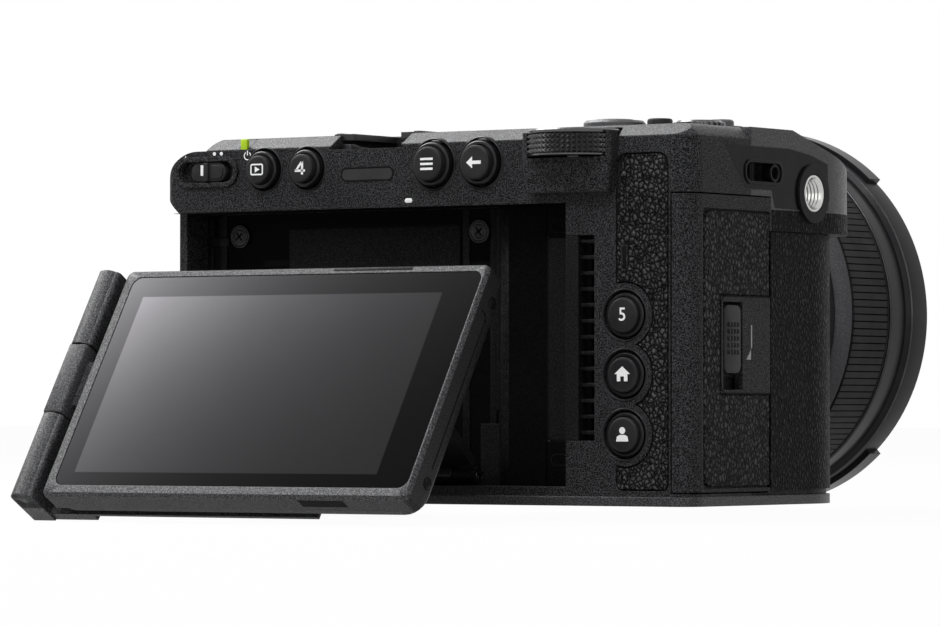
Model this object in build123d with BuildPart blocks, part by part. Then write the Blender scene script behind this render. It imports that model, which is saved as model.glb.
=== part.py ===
from build123d import *
import os
from math import cos, pi, radians, sin, tan

os.makedirs("parts", exist_ok=True)

# Frame: millimetres, origin at the mouth of the tripod socket under the lens axis.
# +X is the viewer's right behind the camera, +Y points along the lens, +Z is up.

# Body
body_left = -57.0
body_right = 79.0
rear_y = -33.0
front_y = 25.0
seam_y = -9.0
base_thick = 2.0
band_z = 76.4
band_depth = 4.0
deck_z = 79.0
right_top_r = 3.5
wall = 1.8
roof_thick = 3.2
left_corner_r = 3.0
right_corner_r = 5.0
left_top_r = 9.0
deck_left = -45.5
deck_left_r = 2.2
gap = 0.3
shaft_gap = 0.05
skin = 0.8
leather_left = 61.0
leather_low_z = 3.2
leather_high_z = 73.0
leather_button_r = 6.6
leather_corner_r = 2.6
leather_low_corner_r = 1.5
leather_waist_x = 64.0
leather_waist = (8.8, 46.0)
strip_wall = 4.4
strip_inner_right = 36.0

# Grip and its head
grip_left = 44.0
grip_front_y = 40.7
grip_corner_r = 24.0
head_front_y = 49.5
head_corner_r = 26.0
grip_inner_r = 7.0
head_z = 57.5
head_slope = 15.0
head_slope_y = 8.0
chin_rise = 4.8
chin_run = 8.8
head_wall = 8.0
head_nose = 19.5
head_roof = 9.0
cover_thick = 1.4

# Screen recess behind the body
strip_z = 63.0
strip_corner = (4.0, 3.7)
ledge_z = 3.9
recess_left = -55.0
ridge_x = 48.6
ridge_width = 3.1
shelf_depth = 8.6
pocket_depth = 13.5
pocket_right = 26.0
left_wall_depth = 5.6
channel_width = 4.0
channel_depth = 3.4
vent_left = 38.3
vent_low_z = 13.5
vent_high_z = 56.2
vent_slot = (2.7, 2.3)
vent_count = 12
vent_pitch = 3.31
vent_seam = 0.12
vent_first_z = 16.9

# Round buttons on the strip and beside the leather: place, radius and how far each stands out
strip_button_z = 71.9
strip_button_stand = 2.8
small_button_r = 3.05
large_button_r = 3.7
side_button_x = 63.2
side_button_r = 3.65
side_button_stand = 1.0
buttons = {
    "playback_button": (-29.6, strip_button_z, small_button_r, strip_button_stand),
    "four_button": (-18.0, strip_button_z, small_button_r, strip_button_stand),
    "menu_button": (15.2, strip_button_z, large_button_r, strip_button_stand),
    "back_button": (27.3, strip_button_z, large_button_r, strip_button_stand),
    "five_button": (side_button_x, 39.5, side_button_r, side_button_stand),
    "home_button": (side_button_x, 27.2, side_button_r, side_button_stand),
    "user_button": (side_button_x, 14.8, side_button_r, side_button_stand),
}
well_margin = 1.5
well_depth = 2.0
stem_r = 1.6
stem_length = 4.2
button_travel = 0.8
cap_chamfer = 0.4

# Power slider, indicator and lamp
switch_x = -45.1
switch_z = 71.8
switch_length = 14.4
switch_height = 4.9
switch_depth = 1.6
slider_x = -44.6
slider_length = 9.4
slider_stand = 0.6
slider_ridge = (1.9, 3.8, 0.4)
indicator_x = -2.3
indicator_z = 70.3
indicator_length = 13.3
indicator_height = 2.5
indicator_thick = 1.0
lamp_x = -35.4
lamp_width = 2.7

# Rear dial
dial_x = 51.1
dial_depth = -0.1
dial_r = 9.6
dial_low_z = 72.6
dial_high_z = 78.1
dial_shaft_r = 2.0
dial_shaft_length = 6.0
dial_ridges = 60
dial_ridge_width = 0.6
dial_tooth = 0.35
housing_left = 39.6
housing_right = 61.6
housing_stand = 3.8
housing_corner_r = 1.6
housing_low_z = 65.0
housing_waist_z = 71.0
housing_high_z = 77.6
housing_taper = 9.0
housing_root = 3.0

# Screen linkage, seen from the side: distance ahead of the rear plane and height
arm_axis_depth = 11.0
arm_axis_z = 6.0
arm_lean = 49.4
arm_length = 45.1
screen_tilt = 32.1
screen_left = -45.8
screen_right = 48.0
screen_height = 56.2
screen_thick = 8.0
bezel_corner_r = 2.0
cradle_axis_up = 45.9
cradle_axis_in = 10.8
knuckle_r = 1.8
pin_r = 0.8
arm_left = -36.0
arm_right = 19.0
hinge_end = 5.7
arm_thick = 2.0
cradle_right = 21.0
cradle_thick = 2.3
cradle_low = 3.3
cradle_high = 50.0
cradle_lip = 0.7
cradle_foot = 0.3
arm_clear = 3.0
bracket_high_z = 17.0
hinge_strip_thick = 0.4
barrel_x = -51.6
barrel_in = 2.6
barrel_r = 2.9
barrel_low = 20.5
barrel_high = 37.5
barrel_pin = 5.0
glass_width = 90.0
glass_height = 51.6
glass_x = 1.9
glass_up = 28.4
glass_thick = 1.0
glass_sink = 0.1
notch_x = 26.0
notch_width = 11.5
glass_corner_r = 2.2
panel_width = 78.5
panel_height = 44.6
panel_x = -0.2
panel_up = 27.5
panel_thick = 1.6

# Side door, leather, latch
door_low_z = 2.9
door_high_z = 64.4
door_depth = 31.7
door_wrap = 4.4
door_thick = 2.0
rebate_depth = 3.2
door_leather_start = 5.2
door_leather_low_z = 3.7
door_leather_high_z = 61.5
latch_start = 13.3
latch_end = 20.4
latch_low_z = 27.2
latch_high_z = 42.0
latch_travel = 2.8
latch_lip = 0.8
latch_ribs = 6
latch_rib_stand = 0.4
latch_panel_start = 12.2
latch_panel_low_z = 23.4
latch_panel_high_z = 43.4

# Shoulder trim with the strap slot and the side socket
socket_depth = 49.0
socket_z = 65.9
socket_r = 3.18
socket_length = 6.5
socket_ring_r = 4.1
socket_boss_r = 6.2
trim_points = [(14.0, 75.0), (14.0, 74.4), (19.5, 68.7), (21.8, 66.0), (32.3, 66.0), (33.6, 62.3),
               (55.5, 62.3), (55.5, 72.3), (48.5, 74.0), (39.7, 75.0)]
trim_thick = 1.2
strap_start = 22.1
strap_end = 36.0
strap_low_z = 67.7
strap_high_z = 71.6
strap_pocket = 5.0
strap_pin_r = 0.9
strap_pin_in = 2.4
strap_pin_depth = 27.5
strap_pin_seat = 1.5
socket_boss_stand = 0.6

# Base: tripod socket, battery door
tripod_r = 3.18
tripod_length = 5.5
insert_r = 5.0
battery_size = (22.8, 38.7, 51.7)
battery_x = 58.4
battery_y = 12.4
hatch_thick = 1.7
battery_door_margin = 1.3
battery_corner_r = 2.0

# Lens and mount
lens_z = 42.0
mount_y = 30.0
mount_ring_r = 30.5
mount_bore_r = 23.0
throat_r = 24.0
lens_length = 102.0
barrel_bore_r = 33.0
barrel_tube_r = 35.0
barrel_foot_r = 36.0
barrel_foot_length = 20.0
focus_start = 22.0
focus_end = 45.0
focus_r = 38.0
ring_gap = 0.3
sleeve_r = 37.0
zoom_start = 52.5
zoom_chamfer_start = 60.0
zoom_rib_start = 66.0
zoom_end = 84.0
zoom_band_r = 38.5
zoom_r = 41.3
zoom_ribs = 72
zoom_rib_share = 0.6
rib_height = 0.6
front_ring_a_end = 89.5
front_ring_b_end = 94.5
front_ring_a_r = 42.0
front_ring_b_r = 42.5
front_ring_r = 43.2
lug_r = 44.3
lug_half_angle = 45.0
filter_r = 39.0
filter_start = 94.0
rear_plate = 3.0
rear_tube = 5.5
rear_glass_thick = 7.0
front_glass_start = 82.0
front_glass_thick = 8.0
front_glass_round = 3.0
front_glass_r = 32.9
rear_glass_r = 16.0
flange_distance = 18.0

# Inside the body
board_depth = 15.6
board_low_z = 5.0
board_high_z = 72.0
board_margin = 1.0
board_holes = [(-50.0, 64.0), (-50.0, 12.0), (0.0, 12.0), (68.0, 64.0)]
board_thick = 1.4
sensor_size = (38.0, 28.0)
sensor_thick = 2.5
frame_size = (66.0, 54.0)
frame_thick = 3.0
post_r = 2.0
fan_x = 14.0
fan_z = 44.0
fan_r = 15.0
fan_blades = 9
fan_hub_r = 6.0
fan_pin_r = 1.5
fan_case = 36.0
fan_case_thick = 13.0
fan_back = 2.0
fan_blade_thick = 0.8
fan_duct = 16.0
card_size = (28.0, 2.8, 20.0)
card_z = 43.0
card_depth = 17.3
port_low_z = 18.0
port_high_z = 62.0
port_start = 30.0
port_end = 52.0
port_block_depth = 12.0
port_cover_thick = 1.5
port_margin = 1.0
port_sockets = [(24.0, 9.0), (38.0, 16.0), (53.0, 9.0)]
port_socket_width = 6.0
port_socket_depth = 8.0

# Controls on the deck
disc_x, disc_depth, disc_r = 46.5, 22.0, 6.6
small_disc_x, small_disc_depth, small_disc_r = 56.6, 24.0, 2.7
top_dial_x, top_dial_depth, top_dial_r = 59.5, 35.0, 5.2
record_x, record_depth, record_r = 57.5, 47.0, 2.8
lever_r = 5.0
control_rise = 2.4
control_stem = 2.4
control_stem_r = 1.5
collar_drop = 0.6
lever_height = 2.3
lever_arm = 3.0
record_stand = 1.5
push_travel = 0.6
push_well = 1.0
top_dial_ridges = 20
top_dial_ridge_r = 0.45
shoe_x = -2.6
shoe_depth_start = 4.2
shoe_length = 18.5
shoe_slot_width = 18.7
shoe_lip_gap = 12.5
shoe_rail = 2.0
shoe_slot_height = 2.1
shoe_lip = 1.4
shoe_floor_drop = 3.2
shoe_base_thick = 1.0
release_x = -38.0
release_z = 21.0
release_r = 4.0
release_stand = 2.5
release_flange = 1.2

# Screws
screw_r = 0.8
screw_head_r = 1.9
screw_head_thick = 0.8
screw_length = 1.1
recess_screws = [(-45.9, 58.1), (18.0, 58.0)]
base_screws = [(-50.0, -26.0), (-50.0, 18.0), (30.0, -26.0), (30.0, 18.0), (70.0, -26.0), (-12.0, -26.0)]
mount_screw_ring = 26.8
mount_screw_count = 4


# Places that follow from the sizes above
door_left = body_right - door_wrap
rebate_x = body_right - rebate_depth
inner_left = body_left + wall
shoe_floor_z = deck_z - shoe_floor_drop
shoe_seat_z = shoe_floor_z - shoe_base_thick


def block(x0, x1, y0, y1, z0, z1, mode=Mode.ADD):
    """Box between two opposite corners."""
    with Locations(((x0 + x1) / 2, (y0 + y1) / 2, (z0 + z1) / 2)):
        Box(x1 - x0, y1 - y0, z1 - z0, mode=mode)


def rod_x(x0, x1, y, z, radius, mode=Mode.ADD):
    """Round bar along X."""
    with Locations(Location(((x0 + x1) / 2, y, z), (0, 90, 0))):
        Cylinder(radius, x1 - x0, mode=mode)


def rod_y(x, y0, y1, z, radius, mode=Mode.ADD):
    """Round bar along Y."""
    with Locations(Location((x, (y0 + y1) / 2, z), (90, 0, 0))):
        Cylinder(radius, y1 - y0, mode=mode)


def rod_z(x, y, z0, z1, radius, mode=Mode.ADD):
    """Round bar along Z."""
    with Locations((x, y, (z0 + z1) / 2)):
        Cylinder(radius, z1 - z0, mode=mode)


def pill_y(x, y0, y1, z, length, height, mode=Mode.ADD):
    """Bar along Y whose section is a slot shape, long in X."""
    with BuildSketch(Plane.XZ.offset(-y0)) as outline:
        with Locations((x, z)):
            SlotOverall(length, height)
    extrude(outline.sketch, amount=y0 - y1, mode=mode)


def grip_block(z0, z1, front, corner, inset=0.0, back=seam_y, mode=Mode.ADD):
    """Upright block with the grip's outline, drawn in by an inset all round."""
    left, right = grip_left + inset, body_right - inset
    with BuildSketch(Plane.XY.offset(z0)) as outline:
        with Locations(((left + right) / 2, (back + front - inset) / 2)):
            Rectangle(right - left, front - inset - back)
        fillet(outline.vertices().group_by(Axis.X)[-1].sort_by(Axis.Y)[-1], corner - inset)
        fillet(outline.vertices().group_by(Axis.X)[0].sort_by(Axis.Y)[-1], grip_inner_r - inset)
    extrude(outline.sketch, amount=z1 - z0, mode=mode)


def slab(plane, x0, x1, u0, u1, w0, w1, mode=Mode.ADD):
    """Box in a tilted frame: u runs up the plane and w goes into it."""
    with BuildSketch(plane.offset(-w0)) as outline:
        with Locations(((x0 + x1) / 2, (u0 + u1) / 2)):
            Rectangle(x1 - x0, u1 - u0)
    extrude(outline.sketch, amount=w0 - w1, mode=mode)


def save(piece, name):
    """Label a finished piece and write it."""
    piece.part.label = name
    export_step(piece.part, f"parts/{name}.step")


# Outer shape of the body without the grip, which the casings are cut from
with BuildPart() as envelope:
    with BuildSketch() as plan:
        with Locations(((body_left + body_right) / 2, (rear_y + front_y) / 2)):
            Rectangle(body_right - body_left, front_y - rear_y)
        fillet(plan.vertices().sort_by(Axis.X)[:2].sort_by(Axis.Y)[0], left_corner_r)
        fillet(plan.vertices().group_by(Axis.X)[-1].sort_by(Axis.Y)[0], right_corner_r)
    extrude(amount=deck_z)
    with BuildSketch(Plane.XZ.offset(-rear_y)) as elevation:
        with BuildLine():
            Polyline((body_left, 0), (body_right, 0), (body_right, deck_z), (deck_left, deck_z),
                     (deck_left, band_z), (body_left, band_z), close=True)
        make_face()
        fillet(elevation.vertices().group_by(Axis.X)[-1].sort_by(Axis.Y)[-1], right_top_r)
        fillet(elevation.vertices().group_by(Axis.X)[1].sort_by(Axis.Y)[-1], deck_left_r)
        fillet(elevation.vertices().group_by(Axis.X)[0].sort_by(Axis.Y)[-1], left_top_r)
    extrude(amount=rear_y - front_y, mode=Mode.INTERSECT)
    with BuildSketch(Plane.YZ.offset(body_left)):
        with BuildLine():
            Polyline((rear_y, band_z), (rear_y, deck_z), (rear_y + band_depth, deck_z), close=True)
        make_face()
    extrude(amount=body_right - body_left, mode=Mode.SUBTRACT)


# Housing that stands out behind the body round the rear dial
with BuildPart() as dial_housing:
    with BuildSketch(Plane.XY.offset(housing_waist_z)) as housing_plan:
        with Locations(((housing_left + housing_right) / 2, rear_y + (housing_root - housing_stand) / 2)):
            Rectangle(housing_right - housing_left, housing_stand + housing_root)
        fillet(housing_plan.vertices().group_by(Axis.Y)[0], housing_corner_r)
    extrude(housing_plan.sketch, amount=housing_high_z - housing_waist_z)
    extrude(housing_plan.sketch, amount=housing_low_z - housing_waist_z, taper=housing_taper)
    block(housing_left, housing_right, rear_y, rear_y + housing_root, band_z, housing_high_z,
          mode=Mode.SUBTRACT)


# Where the card door and its corner lie, cut from everything behind them
with BuildPart() as door_rebate:
    low, high = door_low_z - gap, door_high_z + gap
    block(rebate_x, body_right + 1, rear_y - 1, rear_y + door_depth + gap, low, high)
    block(door_left - gap, rebate_x, rear_y - 1, rear_y + door_thick + gap, low, high)


# Trim plate on the right shoulder, sunk flush into the casing and the cover
with BuildPart() as trim_shape:
    with BuildSketch(Plane.YZ.offset(body_right - trim_thick)) as trim_outline:
        with BuildLine():
            Polyline(*[(rear_y + depth, z) for depth, z in trim_points], close=True)
        make_face()
        with Locations((rear_y + socket_depth, socket_z)):
            Circle(socket_boss_r)
    extrude(amount=trim_thick)


def strap_slot():
    """Slot for the strap across the shoulder."""
    block(body_right - strap_pocket, body_right + 1, rear_y + strap_start, rear_y + strap_end, strap_low_z,
          strap_high_z, mode=Mode.SUBTRACT)


def hollow(x1, y0, y1, z0, z1):
    """Room behind the left wall, kept clear of the rounded upper left corner."""
    block(inner_left, x1, y0, y1, z0, band_z - left_top_r, mode=Mode.SUBTRACT)
    block(body_left + left_top_r, x1, y0, y1, z0, z1, mode=Mode.SUBTRACT)


def dial_pocket():
    """Room for the rear dial inside the casing and the deck."""
    dial_y = rear_y + dial_depth
    rod_z(dial_x, dial_y, dial_low_z - gap, dial_high_z + gap, dial_r + dial_tooth + gap, mode=Mode.SUBTRACT)
    block(dial_x - dial_r, dial_x + dial_r, rear_y - housing_stand - 1, dial_y, dial_low_z - gap,
          dial_high_z + gap, mode=Mode.SUBTRACT)


def shoe_notch():
    """Way for an accessory to slide into the shoe from behind, and the shoe's own seat."""
    half = shoe_slot_width / 2 + shoe_rail
    block(shoe_x - half, shoe_x + half, rear_y + shoe_depth_start, rear_y + shoe_depth_start + shoe_length,
          shoe_seat_z, deck_z + 1, mode=Mode.SUBTRACT)
    block(shoe_x - shoe_slot_width / 2, shoe_x + shoe_slot_width / 2, rear_y - 1, rear_y + shoe_depth_start,
          shoe_floor_z, deck_z + 1, mode=Mode.SUBTRACT)


def card_slot():
    """Slot in the casing wall behind the side door for the memory card."""
    y = rear_y + card_depth
    block(inner_right - 1, rebate_x + 1, y - gap, y + card_size[1] + gap, card_z - card_size[2] / 2 - gap,
          card_z + card_size[2] / 2 + gap, mode=Mode.SUBTRACT)


def leather_outline(y0, y1, mode):
    """Rear leather panel with its scalloped edge round the three side buttons."""
    with BuildSketch(Plane.XZ.offset(-y0)) as outline:
        with Locations(((leather_left + leather_right) / 2, (leather_low_z + leather_high_z) / 2)):
            Rectangle(leather_right - leather_left, leather_high_z - leather_low_z)
        fillet(outline.vertices().group_by(Axis.Y)[-1], leather_corner_r)
        fillet(outline.vertices().group_by(Axis.Y)[0], leather_low_corner_r)
        with Locations(((leather_left + leather_waist_x) / 2, sum(leather_waist) / 2)):
            Rectangle(leather_waist_x - leather_left, leather_waist[1] - leather_waist[0], mode=Mode.SUBTRACT)
        with Locations([(x, z) for x, z, *rest in buttons.values() if x == side_button_x]):
            Circle(leather_button_r, mode=Mode.SUBTRACT)
    extrude(outline.sketch, amount=y0 - y1, mode=mode)


def screw(plane):
    """Pan head and short shank, the head standing on the plane."""
    with BuildSketch(plane) as round_head:
        Circle(screw_head_r)
    extrude(round_head.sketch, amount=screw_head_thick)
    with BuildSketch(plane) as shank:
        Circle(screw_r)
    extrude(shank.sketch, amount=-screw_length)


inner_right = rebate_x - wall
pocket_back = rear_y + pocket_depth + wall
shelf_back = rear_y + shelf_depth + wall
strip_back = rear_y + strip_wall
ridge_right = ridge_x + ridge_width
leather_right = door_left - gap - skin / 2
head_drop = (head_front_y + 1 - head_slope_y) * tan(radians(head_slope))
record_y = rear_y + record_depth
strap_pin_y = rear_y + strap_pin_depth
hatch_left = battery_x - battery_size[0] / 2 - battery_door_margin
hatch_right = battery_x + battery_size[0] / 2 + battery_door_margin
hatch_back = battery_y - battery_size[1] / 2 - battery_door_margin
hatch_front = battery_y + battery_size[1] / 2 + battery_door_margin
board_back = rear_y + board_depth
board_front = board_back + board_thick
sensor_y = mount_y - flange_distance
collar_z = deck_z - collar_drop
deck_controls = {
    "control_disc": (disc_x, rear_y + disc_depth, deck_z, disc_r),
    "small_button": (small_disc_x, rear_y + small_disc_depth, deck_z, small_disc_r),
    "top_dial": (top_dial_x, rear_y + top_dial_depth, deck_z, top_dial_r),
    "record_button": (record_x, record_y, collar_z, record_r),
}
turned_stem = control_stem_r + shaft_gap
pushed_stem = control_stem_r + gap
deck_stems = [
    (*deck_controls["control_disc"][:3], turned_stem),
    (*deck_controls["small_button"][:3], pushed_stem),
    (*deck_controls["top_dial"][:3], turned_stem),
    (*deck_controls["record_button"][:3], pushed_stem),
]
channel_right = ridge_right + channel_width

with BuildPart() as rear_casing:
    add(envelope.part)
    block(body_left, body_right, rear_y - 1, seam_y, base_thick, band_z, mode=Mode.INTERSECT)
    add(dial_housing.part)
    # Screen recess, the deeper hinge pocket and the open left side behind the side wall
    block(recess_left, ridge_x, rear_y - 1, rear_y + shelf_depth, ledge_z, strip_z, mode=Mode.SUBTRACT)
    block(recess_left, pocket_right, rear_y, rear_y + pocket_depth, ledge_z, strip_z, mode=Mode.SUBTRACT)
    block(body_left - 1, recess_left, rear_y - 1, rear_y + left_wall_depth, ledge_z, strip_z,
          mode=Mode.SUBTRACT)
    with BuildSketch(Plane.XZ.offset(-rear_y)) as corner_cut:
        with BuildLine():
            Polyline((body_left, strip_z), (body_left + strip_corner[0], strip_z),
                     (body_left, strip_z + strip_corner[1]), close=True)
        make_face()
    extrude(corner_cut.sketch, amount=-left_wall_depth, mode=Mode.SUBTRACT)
    # Vent channel between the ridge and the leather side
    block(ridge_right, channel_right, rear_y - 1, rear_y + channel_depth, vent_low_z, vent_high_z,
          mode=Mode.SUBTRACT)
    block(vent_left, channel_right, rear_y - 1, pocket_back, vent_low_z, vent_high_z, mode=Mode.SUBTRACT)
    # Hollow inside: behind the pocket, behind the strip and behind the leather side
    hollow(inner_right, pocket_back, seam_y + 1, ledge_z, band_z - roof_thick)
    block(pocket_right + wall, inner_right, shelf_back, pocket_back, ledge_z, strip_z, mode=Mode.SUBTRACT)
    hollow(strip_inner_right, strip_back, pocket_back, strip_z + wall, band_z - roof_thick)
    block(channel_right + wall, door_left - gap - wall, strip_back, shelf_back, ledge_z, strip_z,
          mode=Mode.SUBTRACT)
    add(door_rebate.part, mode=Mode.SUBTRACT)
    add(trim_shape.part, mode=Mode.SUBTRACT)
    strap_slot()
    card_slot()
    dial_pocket()
    rod_z(dial_x, rear_y + dial_depth, dial_low_z - dial_shaft_length, dial_low_z, dial_shaft_r + shaft_gap,
          mode=Mode.SUBTRACT)
    # Button wells with a bore for each stem
    for x, z, radius, stand in buttons.values():
        rod_y(x, rear_y - 1, rear_y + well_depth, z, radius + well_margin, mode=Mode.SUBTRACT)
        rod_y(x, rear_y, rear_y + stem_length + button_travel + gap, z, stem_r + gap, mode=Mode.SUBTRACT)
    pill_y(switch_x, rear_y - 1, rear_y + switch_depth, switch_z, switch_length, switch_height,
           mode=Mode.SUBTRACT)
    pill_y(indicator_x, rear_y - 1, rear_y + indicator_thick, indicator_z, indicator_length, indicator_height,
           mode=Mode.SUBTRACT)
    leather_outline(rear_y - 1, rear_y + skin, Mode.SUBTRACT)
    for x, z in recess_screws:
        rod_y(x, rear_y + pocket_depth, rear_y + pocket_depth + screw_length, z, screw_r + shaft_gap,
              mode=Mode.SUBTRACT)
    shoe_notch()
save(rear_casing, "rear_casing")

with BuildPart() as front_casing:
    add(envelope.part)
    block(body_left, grip_left, seam_y, front_y, base_thick, band_z, mode=Mode.INTERSECT)
    hollow(grip_left - wall, seam_y - 1, front_y - wall, ledge_z, band_z - wall)
    rod_y(0, front_y - wall - 1, front_y + 1, lens_z, throat_r, mode=Mode.SUBTRACT)
    rod_z(0, 0, base_thick, ledge_z, insert_r + shaft_gap, mode=Mode.SUBTRACT)
    rod_y(release_x, front_y - wall - 1, front_y + 1, release_z, release_r + gap, mode=Mode.SUBTRACT)
    block(body_left - 1, inner_left, rear_y + port_start, rear_y + port_end, port_low_z, port_high_z,
          mode=Mode.SUBTRACT)
save(front_casing, "front_casing")

with BuildPart() as top_cover:
    add(envelope.part)
    block(body_left, body_right, rear_y, front_y, band_z, deck_z, mode=Mode.INTERSECT)
    block(deck_left + wall, grip_left - wall, rear_y + band_depth + wall, front_y - wall, band_z,
          deck_z - cover_thick, mode=Mode.SUBTRACT)
    grip_block(head_z, deck_z, head_front_y, head_corner_r)
    block(grip_left + wall, body_right - head_wall, seam_y - 1, head_front_y - head_nose, head_z,
          deck_z - head_roof, mode=Mode.SUBTRACT)
    with BuildSketch(Plane.YZ.offset(grip_left)) as slope:
        with BuildLine():
            Polyline((head_slope_y, deck_z), (head_front_y + 1, deck_z),
                     (head_front_y + 1, deck_z - head_drop), close=True)
        make_face()
        with BuildLine():
            Polyline((head_front_y - chin_run, head_z), (head_front_y + 1, head_z),
                     (head_front_y + 1, head_z + chin_rise * (chin_run + 1) / chin_run), close=True)
        make_face()
    extrude(slope.sketch, amount=body_right - grip_left, mode=Mode.SUBTRACT)
    rod_z(record_x, record_y, deck_z - head_roof, collar_z, lever_r)
    # Side features: card door, shoulder trim, strap slot, side socket
    add(door_rebate.part, mode=Mode.SUBTRACT)
    add(trim_shape.part, mode=Mode.SUBTRACT)
    strap_slot()
    rod_z(body_right - strap_pin_in, strap_pin_y, strap_low_z - strap_pin_seat,
          strap_high_z + strap_pin_seat, strap_pin_r, mode=Mode.SUBTRACT)
    rod_x(body_right - socket_length, body_right, rear_y + socket_depth, socket_z, socket_ring_r,
          mode=Mode.SUBTRACT)
    dial_pocket()
    shoe_notch()
    for x, y, top, radius in deck_stems:
        rod_z(x, y, top - control_stem, top + 1, radius, mode=Mode.SUBTRACT)
    rod_z(small_disc_x, rear_y + small_disc_depth, deck_z - push_well, deck_z + 1, small_disc_r + gap,
          mode=Mode.SUBTRACT)
    block(lamp_x - lamp_width / 2, lamp_x + lamp_width / 2, rear_y - 1, rear_y + band_depth, band_z, deck_z,
          mode=Mode.SUBTRACT)
save(top_cover, "top_cover")

with BuildPart() as base_plate:
    add(envelope.part)
    block(body_left, body_right, rear_y, front_y, 0, base_thick, mode=Mode.INTERSECT)
    block(grip_left, body_right, seam_y, front_y, 0, base_thick, mode=Mode.SUBTRACT)
    grip_block(0, base_thick, grip_front_y, grip_corner_r)
    rod_z(0, 0, 0, base_thick, insert_r, mode=Mode.SUBTRACT)
    block(hatch_left, hatch_right, hatch_back, hatch_front, 0, base_thick, mode=Mode.SUBTRACT)
    for x, y in base_screws:
        rod_z(x, y, 0, screw_head_thick, screw_head_r + shaft_gap, mode=Mode.SUBTRACT)
        rod_z(x, y, 0, base_thick, screw_r + shaft_gap, mode=Mode.SUBTRACT)
save(base_plate, "base_plate")

with BuildPart() as grip_shell:
    grip_block(base_thick, head_z, grip_front_y, grip_corner_r, inset=skin)
    grip_block(base_thick, head_z - wall, grip_front_y, grip_corner_r, inset=skin + wall, back=seam_y - 1,
               mode=Mode.SUBTRACT)
    block(rebate_x - wall, rebate_x, seam_y, rear_y + door_depth + gap + wall, base_thick, head_z)
    add(door_rebate.part, mode=Mode.SUBTRACT)
save(grip_shell, "grip_shell")

with BuildPart() as grip_leather:
    grip_block(leather_low_z, head_z - gap, grip_front_y, grip_corner_r)
    grip_block(leather_low_z, head_z - gap, grip_front_y, grip_corner_r, inset=skin, mode=Mode.SUBTRACT)
    block(grip_left, grip_left + skin, seam_y, front_y + gap, leather_low_z, head_z, mode=Mode.SUBTRACT)
    block(body_right - skin, body_right, seam_y, rear_y + door_depth + gap, leather_low_z, head_z,
          mode=Mode.SUBTRACT)
save(grip_leather, "grip_leather")

with BuildPart() as rear_leather:
    leather_outline(rear_y, rear_y + skin, Mode.ADD)
    block(leather_left, housing_right + gap, rear_y, rear_y + skin, housing_low_z - gap, leather_high_z,
          mode=Mode.SUBTRACT)
save(rear_leather, "rear_leather")

with BuildPart() as shoulder_trim:
    add(trim_shape.part)
    rod_x(body_right, body_right + socket_boss_stand, rear_y + socket_depth, socket_z, socket_boss_r)
    strap_slot()
    rod_x(body_right - trim_thick, body_right + 1, rear_y + socket_depth, socket_z, socket_ring_r,
          mode=Mode.SUBTRACT)
save(shoulder_trim, "shoulder_trim")

with BuildPart() as strap_pin:
    rod_z(body_right - strap_pin_in, strap_pin_y, strap_low_z - strap_pin_seat,
          strap_high_z + strap_pin_seat, strap_pin_r - shaft_gap)
save(strap_pin, "strap_pin")

with BuildPart() as side_socket:
    rod_x(body_right - socket_length, body_right + socket_boss_stand, rear_y + socket_depth, socket_z,
          socket_ring_r)
    rod_x(body_right - socket_length + 1, body_right + 1, rear_y + socket_depth, socket_z, socket_r,
          mode=Mode.SUBTRACT)
save(side_socket, "side_socket")

with BuildPart() as tripod_socket:
    rod_z(0, 0, 0, tripod_length + 1.5, insert_r)
    rod_z(0, 0, -1, tripod_length, tripod_r, mode=Mode.SUBTRACT)
save(tripod_socket, "tripod_socket")

with BuildPart() as accessory_shoe:
    shoe_half = shoe_slot_width / 2 + shoe_rail
    shoe_start = rear_y + shoe_depth_start + shaft_gap
    shoe_end = rear_y + shoe_depth_start + shoe_length - shaft_gap
    rail_top = shoe_floor_z + shoe_slot_height
    block(shoe_x - shoe_half + shaft_gap, shoe_x + shoe_half - shaft_gap, shoe_start, shoe_end, shoe_seat_z,
          rail_top + shoe_lip)
    block(shoe_x - shoe_slot_width / 2, shoe_x + shoe_slot_width / 2, shoe_start - 1, shoe_end - shoe_rail,
          shoe_floor_z, rail_top, mode=Mode.SUBTRACT)
    block(shoe_x - shoe_lip_gap / 2, shoe_x + shoe_lip_gap / 2, shoe_start - 1, shoe_end - shoe_rail,
          rail_top, rail_top + shoe_lip + 1, mode=Mode.SUBTRACT)
save(accessory_shoe, "accessory_shoe")

with BuildPart() as mount_ring:
    rod_y(0, front_y, mount_y, lens_z, mount_ring_r)
    rod_y(0, front_y - 1, mount_y + 1, lens_z, mount_bore_r, mode=Mode.SUBTRACT)
    with Locations(Plane.XZ.offset(-mount_y)):
        with Locations((0, lens_z)):
            with PolarLocations(mount_screw_ring, mount_screw_count, 45):
                Cylinder(screw_head_r + shaft_gap, 2 * (screw_head_thick + shaft_gap), mode=Mode.SUBTRACT)
                Cylinder(screw_r + shaft_gap, 2 * (screw_head_thick + screw_length + gap), mode=Mode.SUBTRACT)
save(mount_ring, "mount_ring")

with BuildPart() as case_screws:
    for x, z in recess_screws:
        screw(Plane(origin=(x, rear_y + pocket_depth, z), x_dir=(1, 0, 0), z_dir=(0, -1, 0)))
    for x, y in base_screws:
        screw(Plane(origin=(x, y, screw_head_thick), x_dir=(1, 0, 0), z_dir=(0, 0, -1)))
    for i in range(mount_screw_count):
        turn = radians(45 + 360 / mount_screw_count * i)
        x, z = mount_screw_ring * cos(turn), lens_z + mount_screw_ring * sin(turn)
        screw(Plane(origin=(x, mount_y - screw_head_thick - shaft_gap, z), x_dir=(1, 0, 0), z_dir=(0, 1, 0)))
save(case_screws, "case_screws")

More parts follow.
